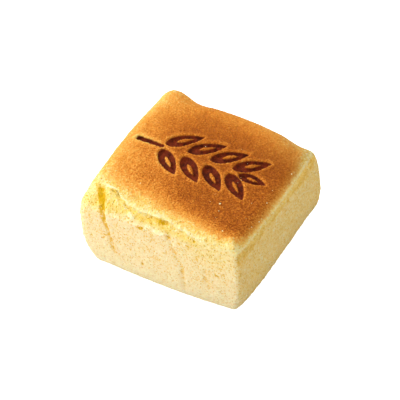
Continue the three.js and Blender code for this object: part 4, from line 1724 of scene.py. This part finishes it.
def crumb_group() -> Tree:
    """Make the group for baked crumb: fine grains with small pores, as a height and as a tone.

    The tone is 0.5 on average, lower in pores. Size is the size of a grain in metres.
    """
    wiring = new_group(
        "crumb grain",
        {
            "Place": ("NodeSocketVector", 0.0),
            "Size": ("NodeSocketFloat", 0.0006),
            "Pores": ("NodeSocketFloat", 0.5),
        },
        {"Height": "NodeSocketFloat", "Tone": "NodeSocketFloat"},
    )
    given = wiring.node("NodeGroupInput").outputs
    scale = wiring.math("DIVIDE", 1.0, given["Size"])
    grain = wiring.noise(given["Place"], scale, 3.0, 0.6)
    coarse = wiring.noise(given["Place"], wiring.math("MULTIPLY", scale, 0.34), 2.0, 0.5)
    cells = wiring.node(
        "ShaderNodeTexVoronoi",
        {"Vector": given["Place"], "Scale": wiring.math("MULTIPLY", scale, 0.62), "Randomness": 1.0},
        feature="F1",
    ).outputs["Distance"]
    pore = wiring.math("MULTIPLY", wiring.band(cells, 0.34, 0.1), given["Pores"])
    height = wiring.math("SUBTRACT", wiring.math("ADD", grain, wiring.math("MULTIPLY", coarse, 0.9)), pore)
    mixed = wiring.math("ADD", wiring.math("MULTIPLY", grain, 0.8), wiring.math("MULTIPLY", coarse, 0.2))
    tone = wiring.math("SUBTRACT", mixed, pore)
    out = wiring.node("NodeGroupOutput")
    wiring.tree.links.new(height, out.inputs["Height"])
    wiring.tree.links.new(tone, out.inputs["Tone"])
    return wiring.tree


@dataclass(frozen=True)
class SpongeFinish:
    """The finish of the cake: pale crumb on the sides, browned crust on top, and the scorched mark.

    Attributes:
        crust: Stops of the crust's colour by browning.
        painted_shade: What the crust's colour is multiplied by where shade is painted on it.
        skin: Colour of the sides' skin, and cream that of its grains.
        torn: Colour of bare torn crumb, deep that of hollows in it and deepest that of the deepest ones: deep
            is partly the moist crumb's own yellow and partly painted shade, and deepest adds painted shade.
        pore: Colour of hollows in the sides' skin, partly their own colour and partly painted shade.
        char: Colour of the mark's floor, and char_blotch that of its darker blotches.
        grain: Size in metres of the grains of the crumb.
        bump: Height in metres of the crust's grains, and side_bump of the sides'.
        roughness: How rough the crust is, and pale_roughness the sides.
        glow: How much light passes through the crumb, and glow_depth how far in metres.
        gloss: How strongly it shines.
    """

    crust: tuple[tuple[float, Paint], ...] = (
        (0.0, daylight(255, 238, 172)),
        (0.07, daylight(254, 228, 146)),
        (0.16, daylight(251, 212, 116)),
        (0.26, daylight(248, 198, 94)),
        (0.37, daylight(244, 174, 78)),
        (0.49, daylight(234, 152, 58)),
        (0.62, daylight(212, 126, 38)),
        (0.76, daylight(190, 106, 27)),
        (0.92, daylight(169, 89, 17)),
        (1.0, daylight(148, 74, 12)),
    )
    # painted shade: multiplied into the crust's colour where less light falls
    painted_shade: Paint = (0.75, 0.77, 0.79, 1.0)
    skin: Paint = daylight(247, 226, 175)
    cream: Paint = daylight(255, 247, 202)
    torn: Paint = daylight(252, 219, 124)
    # deep, deepest and pore: colours of hollows, partly the crumb's own yellow and partly painted shade
    deep: Paint = daylight(228, 180, 24)
    deepest: Paint = daylight(212, 166, 16)
    pore: Paint = daylight(238, 190, 82)
    char: Paint = daylight(132, 50, 20)
    char_blotch: Paint = daylight(82, 28, 14)
    grain: float = 0.0007
    bump: float = 0.0008
    side_bump: float = 0.0004
    roughness: float = 0.62
    pale_roughness: float = 0.9
    glow: float = 0.18
    glow_depth: float = 0.0015
    gloss: float = 0.08

    def material(self, crumb: Tree) -> bpy.types.Material:
        """Make the material.

        Args:
            crumb: The group for baked crumb.

        Returns:
            The material.
        """
        made, w = new_material("sponge")
        place = w.node("ShaderNodeTexCoord").outputs["Object"]
        mask = {m: w.node("ShaderNodeAttribute", attribute_name=m.value).outputs["Fac"] for m in Mask}
        browning, side, mark, torn = (mask[m] for m in (Mask.BROWNING, Mask.SIDE, Mask.MARK, Mask.TORN))

        fine = w.node("ShaderNodeGroup", {}, node_tree=crumb)
        fine.inputs["Size"].default_value = self.grain
        w.tree.links.new(place, fine.inputs["Place"])
        w.tree.links.new(w.band(browning, 0.5, 0.1, 0.12, 0.4), fine.inputs["Pores"])
        tone = w.math("SUBTRACT", fine.outputs["Tone"], 0.45)

        # The grain shows more on dark crust and towards the front. Round the mark the crust is paler:
        # a painted highlight on its puffed rim.
        to_front = w.band(w.node("ShaderNodeSeparateXYZ", {0: place}).outputs["Y"], 0.035, -0.025, 0.45, 1.2)
        grain = w.math("MULTIPLY", w.band(browning, 0.1, 0.9, 0.2, 1.5), to_front)
        brown = w.math("SUBTRACT", browning, w.math("MULTIPLY", tone, grain))
        brown = w.math("SUBTRACT", brown, w.math("MULTIPLY", w.band(mark, 2.6, 0.3), 0.22))
        # Painted shade: the crust is multiplied darker on the right shoulder and towards the back right
        # corner.
        crust = w.mix(mask[Mask.PAINTED_SHADE], w.ramp(brown, self.crust), self.painted_shade, "MULTIPLY")
        colour = w.mix(side, crust, self.skin)
        bare = w.math("MAXIMUM", w.band(browning, 0.5, 0.15), w.band(side, 0.4, 0.9))
        colour = w.mix(w.math("MULTIPLY", torn, bare), colour, self.torn)

        # Hollows are deeper in colour and grains paler, partly the crumb's own colour and partly painted
        # shade and painted highlight, each made uneven by the tone of the crumb.
        low = w.math("ADD", mask[Mask.HOLLOW_TINT_AND_SHADE], w.band(tone, -0.3, 0.3, 0.75, -0.75))
        hollow = w.mix(w.band(torn, 0.0, 0.6), self.pore, self.deep)
        # Painted shade: the deepest hollows, in the fold and the crevice, darken further.
        hollow = w.mix(w.band(mask[Mask.HOLLOW_TINT_AND_SHADE], 0.8, 1.4), hollow, self.deepest)
        colour = w.mix(w.math("MULTIPLY", w.band(low, 0.0, 1.0), bare), colour, hollow)
        pale = w.math("MULTIPLY", w.band(low, 0.0, -1.0), w.math("MULTIPLY", bare, 0.8))
        colour = w.mix(pale, colour, self.cream)
        burnt = w.ramp(w.noise(place, 420.0, 3.0, 0.6), ((0.35, self.char_blotch), (0.62, self.char)))
        colour = w.mix(w.band(mark, 0.12, -0.25), colour, burnt)

        dust = w.math("MULTIPLY", w.noise(place, 3200.0, 2.0, 0.5), 0.3)
        height = w.math("ADD", fine.outputs["Height"], dust)
        reach = w.band(side, 0.0, 1.0, self.bump, self.side_bump)
        bump = w.node("ShaderNodeBump", {"Strength": 1.0, "Distance": reach, "Height": height})
        shader = w.node(
            "ShaderNodeBsdfPrincipled",
            {
                "Base Color": colour,
                "Roughness": w.band(browning, 0.1, 0.7, self.pale_roughness, self.roughness),
                "Normal": bump.outputs["Normal"],
                "Subsurface Weight": self.glow,
                "Subsurface Radius": (1.0, 0.55, 0.2),
                "Subsurface Scale": self.glow_depth,
                "Specular IOR Level": self.gloss,
            },
        )
        w.node("ShaderNodeOutputMaterial", {"Surface": shader.outputs[0]})
        return made


# ---------------------------------------------------------------- loose crumbs


@dataclass
class LooseCrumbs:
    """Pale crumbs that lie on the crust, as one mesh.

    Attributes:
        spots: X and Y of each crumb on the top, and its size, in millimetres.
        strewn: How many more very small ones are strewn.
        strewn_x, strewn_y: The stretches over which they are strewn, and strewn_size that of their sizes.
        seed: Tells one draw from another.
    """

    spots: tuple[Place, ...] = (
        (19.8, -17.2, 0.8),
        (21.3, -21.4, 0.5),
        (28.6, -31.4, 0.95),
        (36.4, 15.9, 0.55),
        (34.6, 1.4, 0.45),
        (35.9, -6.2, 0.55),
        (37.1, -21.6, 0.5),
        (38.0, -16.6, 0.5),
        (38.1, -14.4, 0.4),
        (-16.5, -21.6, 0.5),
        (-4.0, 12.0, 0.4),
    )
    strewn: int = 12
    strewn_x: Stretch = (8, 37)
    strewn_y: Stretch = (-34, 22)
    strewn_size: Stretch = (0.18, 0.34)
    seed: int = 8

    def build(self, skin: Skin) -> Piece:
        """Set each crumb on the skin: an octahedron divided once, its corners moved in and out at random.

        Args:
            skin: The finished skin, with its points in metres.

        Returns:
            The object.
        """
        rng = np.random.default_rng(self.seed)
        more = [rng.uniform(*ends, self.strewn) for ends in (self.strewn_x, self.strewn_y, self.strewn_size)]
        spots = np.concatenate([np.array(self.spots), np.stack(more, axis=-1)])
        shell, faces = self.nugget()
        highest = skin.points[:, 2].max()
        top = skin.points[skin.points[:, 2] > highest * 0.8]
        gaps = np.linalg.norm(top[None, :, :2] - spots[:, None, :2] * METRES, axis=-1)
        seat = top[gaps.argmin(axis=1)]
        uneven = rng.uniform(0.7, 1.25, (len(spots), len(shell), 1))
        uneven = uneven * rng.uniform(0.6, 1.3, (len(spots), 1, 3))
        size = spots[:, 2, None, None] / 2 * METRES
        points = seat[:, None, :] + shell[None] * uneven * size + size * (0, 0, 0.35)
        points = points.reshape(-1, 3)
        points[:, 2] = np.minimum(points[:, 2], highest)
        offsets = np.arange(len(spots))[:, None, None] * len(shell)
        return smooth_piece("loose_crumbs", points, (faces[None] + offsets).reshape(-1, 3).tolist())

    @staticmethod
    def nugget() -> tuple[Array, Array]:
        """Give a ball of 18 corners and 32 faces: an octahedron whose edges are halved and pushed out."""
        corners = np.array([(1, 0, 0), (0, 1, 0), (-1, 0, 0), (0, -1, 0), (0, 0, 1), (0, 0, -1)], float)
        faces = np.array([(k, (k + 1) % 4, 4) for k in range(4)] + [((k + 1) % 4, k, 5) for k in range(4)])
        edges = np.sort(np.concatenate([faces[:, [0, 1]], faces[:, [1, 2]], faces[:, [2, 0]]]), axis=1)
        unique, inverse = np.unique(edges, axis=0, return_inverse=True)
        middles = corners[unique].sum(axis=1)
        middles /= np.linalg.norm(middles, axis=1, keepdims=True)
        ab, bc, ca = (6 + inverse.reshape(3, -1))
        a, b, c = faces.T
        split = [(a, ab, ca), (ab, b, bc), (ca, bc, c), (ab, bc, ca)]
        return np.concatenate([corners, middles]), np.concatenate([np.stack(s, axis=-1) for s in split])


@dataclass(frozen=True)
class CrumbFinish:
    """The finish of the loose crumbs: pale dry sponge."""

    colour: Paint = daylight(255, 250, 196)
    shade: Paint = daylight(252, 230, 150)

    def material(self, crumb: Tree) -> bpy.types.Material:
        """Make the material.

        Args:
            crumb: The group for baked crumb.

        Returns:
            The material.
        """
        made, w = new_material("dry crumb")
        fine = w.node("ShaderNodeGroup", {}, node_tree=crumb)
        fine.inputs["Size"].default_value = 0.0003
        fine.inputs["Pores"].default_value = 0.2
        w.tree.links.new(w.node("ShaderNodeTexCoord").outputs["Object"], fine.inputs["Place"])
        colour = w.mix(w.band(fine.outputs["Tone"], 0.3, 0.6), self.shade, self.colour)
        height = fine.outputs["Height"]
        bump = w.node("ShaderNodeBump", {"Strength": 0.4, "Distance": 0.0001, "Height": height})
        shader = w.node(
            "ShaderNodeBsdfPrincipled",
            {"Base Color": colour, "Roughness": 0.8, "Normal": bump.outputs["Normal"]},
        )
        w.node("ShaderNodeOutputMaterial", {"Surface": shader.outputs[0]})
        return made


# ---------------------------------------------------------------- studio


@dataclass(frozen=True)
class Lamp:
    """A soft square lamp that looks at the cake.

    Attributes:
        name: Its name.
        azimuth: Its direction from the cake in degrees, 0 towards -Y and 90 towards +X.
        elevation: Its height above the horizon in degrees.
        distance: Its distance in metres, and size its side.
        power: Its power in watts.
        colour: Its colour.
    """

    name: str
    azimuth: float
    elevation: float
    distance: float
    size: float
    power: float
    colour: Colour = (1.0, 1.0, 1.0)


def direction(azimuth: float, elevation: float) -> Vector:
    """Give the unit vector from the cake towards a place, from degrees."""
    a, e = math.radians(azimuth), math.radians(elevation)
    return Vector((math.sin(a) * math.cos(e), -math.cos(a) * math.cos(e), math.sin(e)))


@dataclass(frozen=True)
class Studio:
    """The pale floor, the soft lamps, the bright room and the camera.

    Attributes:
        azimuth: The camera's direction, elevation its height in degrees and roll its tilt.
        distance: Its distance from the target in metres.
        focal: The focal length in pixels of a picture that is `picture` pixels wide.
        off_centre: How far right and down of the picture's middle the target shows, in pixels.
        target: The point that the camera's place is counted from, in metres.
        room: Strength of the room's even light, and warmth its colour.
        bounce: Share of the light that the floor throws back. The camera sees it as white.
        lamps: The lamps.
    """

    azimuth: float = 32.315
    elevation: float = 44.969
    roll: float = -4.31
    distance: float = 1.0
    focal: float = 2291.5
    picture: float = 400.0
    off_centre: tuple[float, float] = (2.07, 0.84)
    target: Place = (0.0, -0.00016, 0.020)
    room: float = 0.89
    warmth: Colour = (1.0, 0.965, 0.92)
    bounce: float = 0.6
    lamps: tuple[Lamp, ...] = (
        Lamp("key", -100.0, 33.0, 0.9, 0.25, 4.4),
        Lamp("fill", -36.0, 18.0, 1.1, 0.4, 4.3),
    )

    def floor(self) -> Piece:
        """Lay a wide pale floor at the height that the cake stands on."""
        side = 6.0
        corners = [(-side, -side, 0), (side, -side, 0), (side, side, 0), (-side, side, 0)]
        mesh = bpy.data.meshes.new("floor")
        mesh.from_pydata(corners, [], [(0, 1, 2, 3)])
        made, w = new_material("pale floor")
        seen = w.node("ShaderNodeLightPath").outputs["Is Camera Ray"]
        pale = (self.bounce, self.bounce, self.bounce, 1)
        inputs = {"Base Color": pale, "Roughness": 0.9, "Emission Color": (1, 1, 1, 1)}
        shader = w.node("ShaderNodeBsdfPrincipled", {**inputs, "Emission Strength": seen})
        w.node("ShaderNodeOutputMaterial", {"Surface": shader.outputs[0]})
        mesh.materials.append(made)
        piece = bpy.data.objects.new("floor", mesh)
        bpy.context.scene.collection.objects.link(piece)
        return piece

    def light(self) -> None:
        """Set the lamps and the room's even light."""
        scene = bpy.context.scene
        middle = Vector((0, 0, self.target[2]))
        for lamp in self.lamps:
            data = bpy.data.lights.new(lamp.name, "AREA")
            data.size, data.energy, data.color = lamp.size, lamp.power, lamp.colour
            towards = direction(lamp.azimuth, lamp.elevation)
            piece = bpy.data.objects.new(lamp.name, data)
            piece.location = middle + towards * lamp.distance
            piece.rotation_euler = towards.to_track_quat("Z", "Y").to_euler()
            scene.collection.objects.link(piece)
        world = bpy.data.worlds.new("bright room")
        world.use_nodes = True
        background = world.node_tree.nodes["Background"]
        background.inputs["Color"].default_value = (*self.warmth, 1)
        background.inputs["Strength"].default_value = self.room
        scene.world = world

    def camera(self) -> Piece:
        """Set the camera: at `distance` behind the target, rolled, and moved sideways by the offset."""
        scene = bpy.context.scene
        back = direction(self.azimuth, self.elevation)
        right = Vector((math.cos(math.radians(self.azimuth)), math.sin(math.radians(self.azimuth)), 0))
        up = back.cross(right)
        c, s = turned(self.roll)
        right, up = right * c + up * s, up * c - right * s
        metres = self.distance / self.focal
        aim = Vector(self.target) - right * (self.off_centre[0] * metres) + up * (self.off_centre[1] * metres)
        data = bpy.data.cameras.new("camera")
        data.sensor_width = 36.0
        data.lens = self.focal / self.picture * data.sensor_width
        piece = bpy.data.objects.new("camera", data)
        turn = Matrix((right, up, back)).transposed()
        piece.matrix_world = Matrix.Translation(aim + back * self.distance) @ turn.to_4x4()
        scene.collection.objects.link(piece)
        scene.camera = piece
        return piece

    def build(self) -> None:
        """Set up the whole studio and show colours as they are."""
        self.floor()
        self.light()
        self.camera()
        bpy.context.scene.view_settings.view_transform = "Standard"


# ---------------------------------------------------------------- putting it together


def report(piece: Piece) -> None:
    """Log a piece's name and how many triangles it has."""
    piece.data.calc_loop_triangles()
    LOG.info("%s: %d triangles", piece.name, len(piece.data.loop_triangles))


def main() -> None:
    """Build the cake, its crumbs and the studio."""
    Studio().build()
    crumb = crumb_group()
    cake, skin = BakedCake().build("cake")
    cake.data.materials.append(SpongeFinish().material(crumb))
    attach(cake, "root")
    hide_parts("cake")
    report(cake)
    crumbs = LooseCrumbs().build(skin)
    crumbs.data.materials.append(CrumbFinish().material(crumb))
    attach(crumbs, "root")
    report(crumbs)


if __name__ == "__main__":
    main()
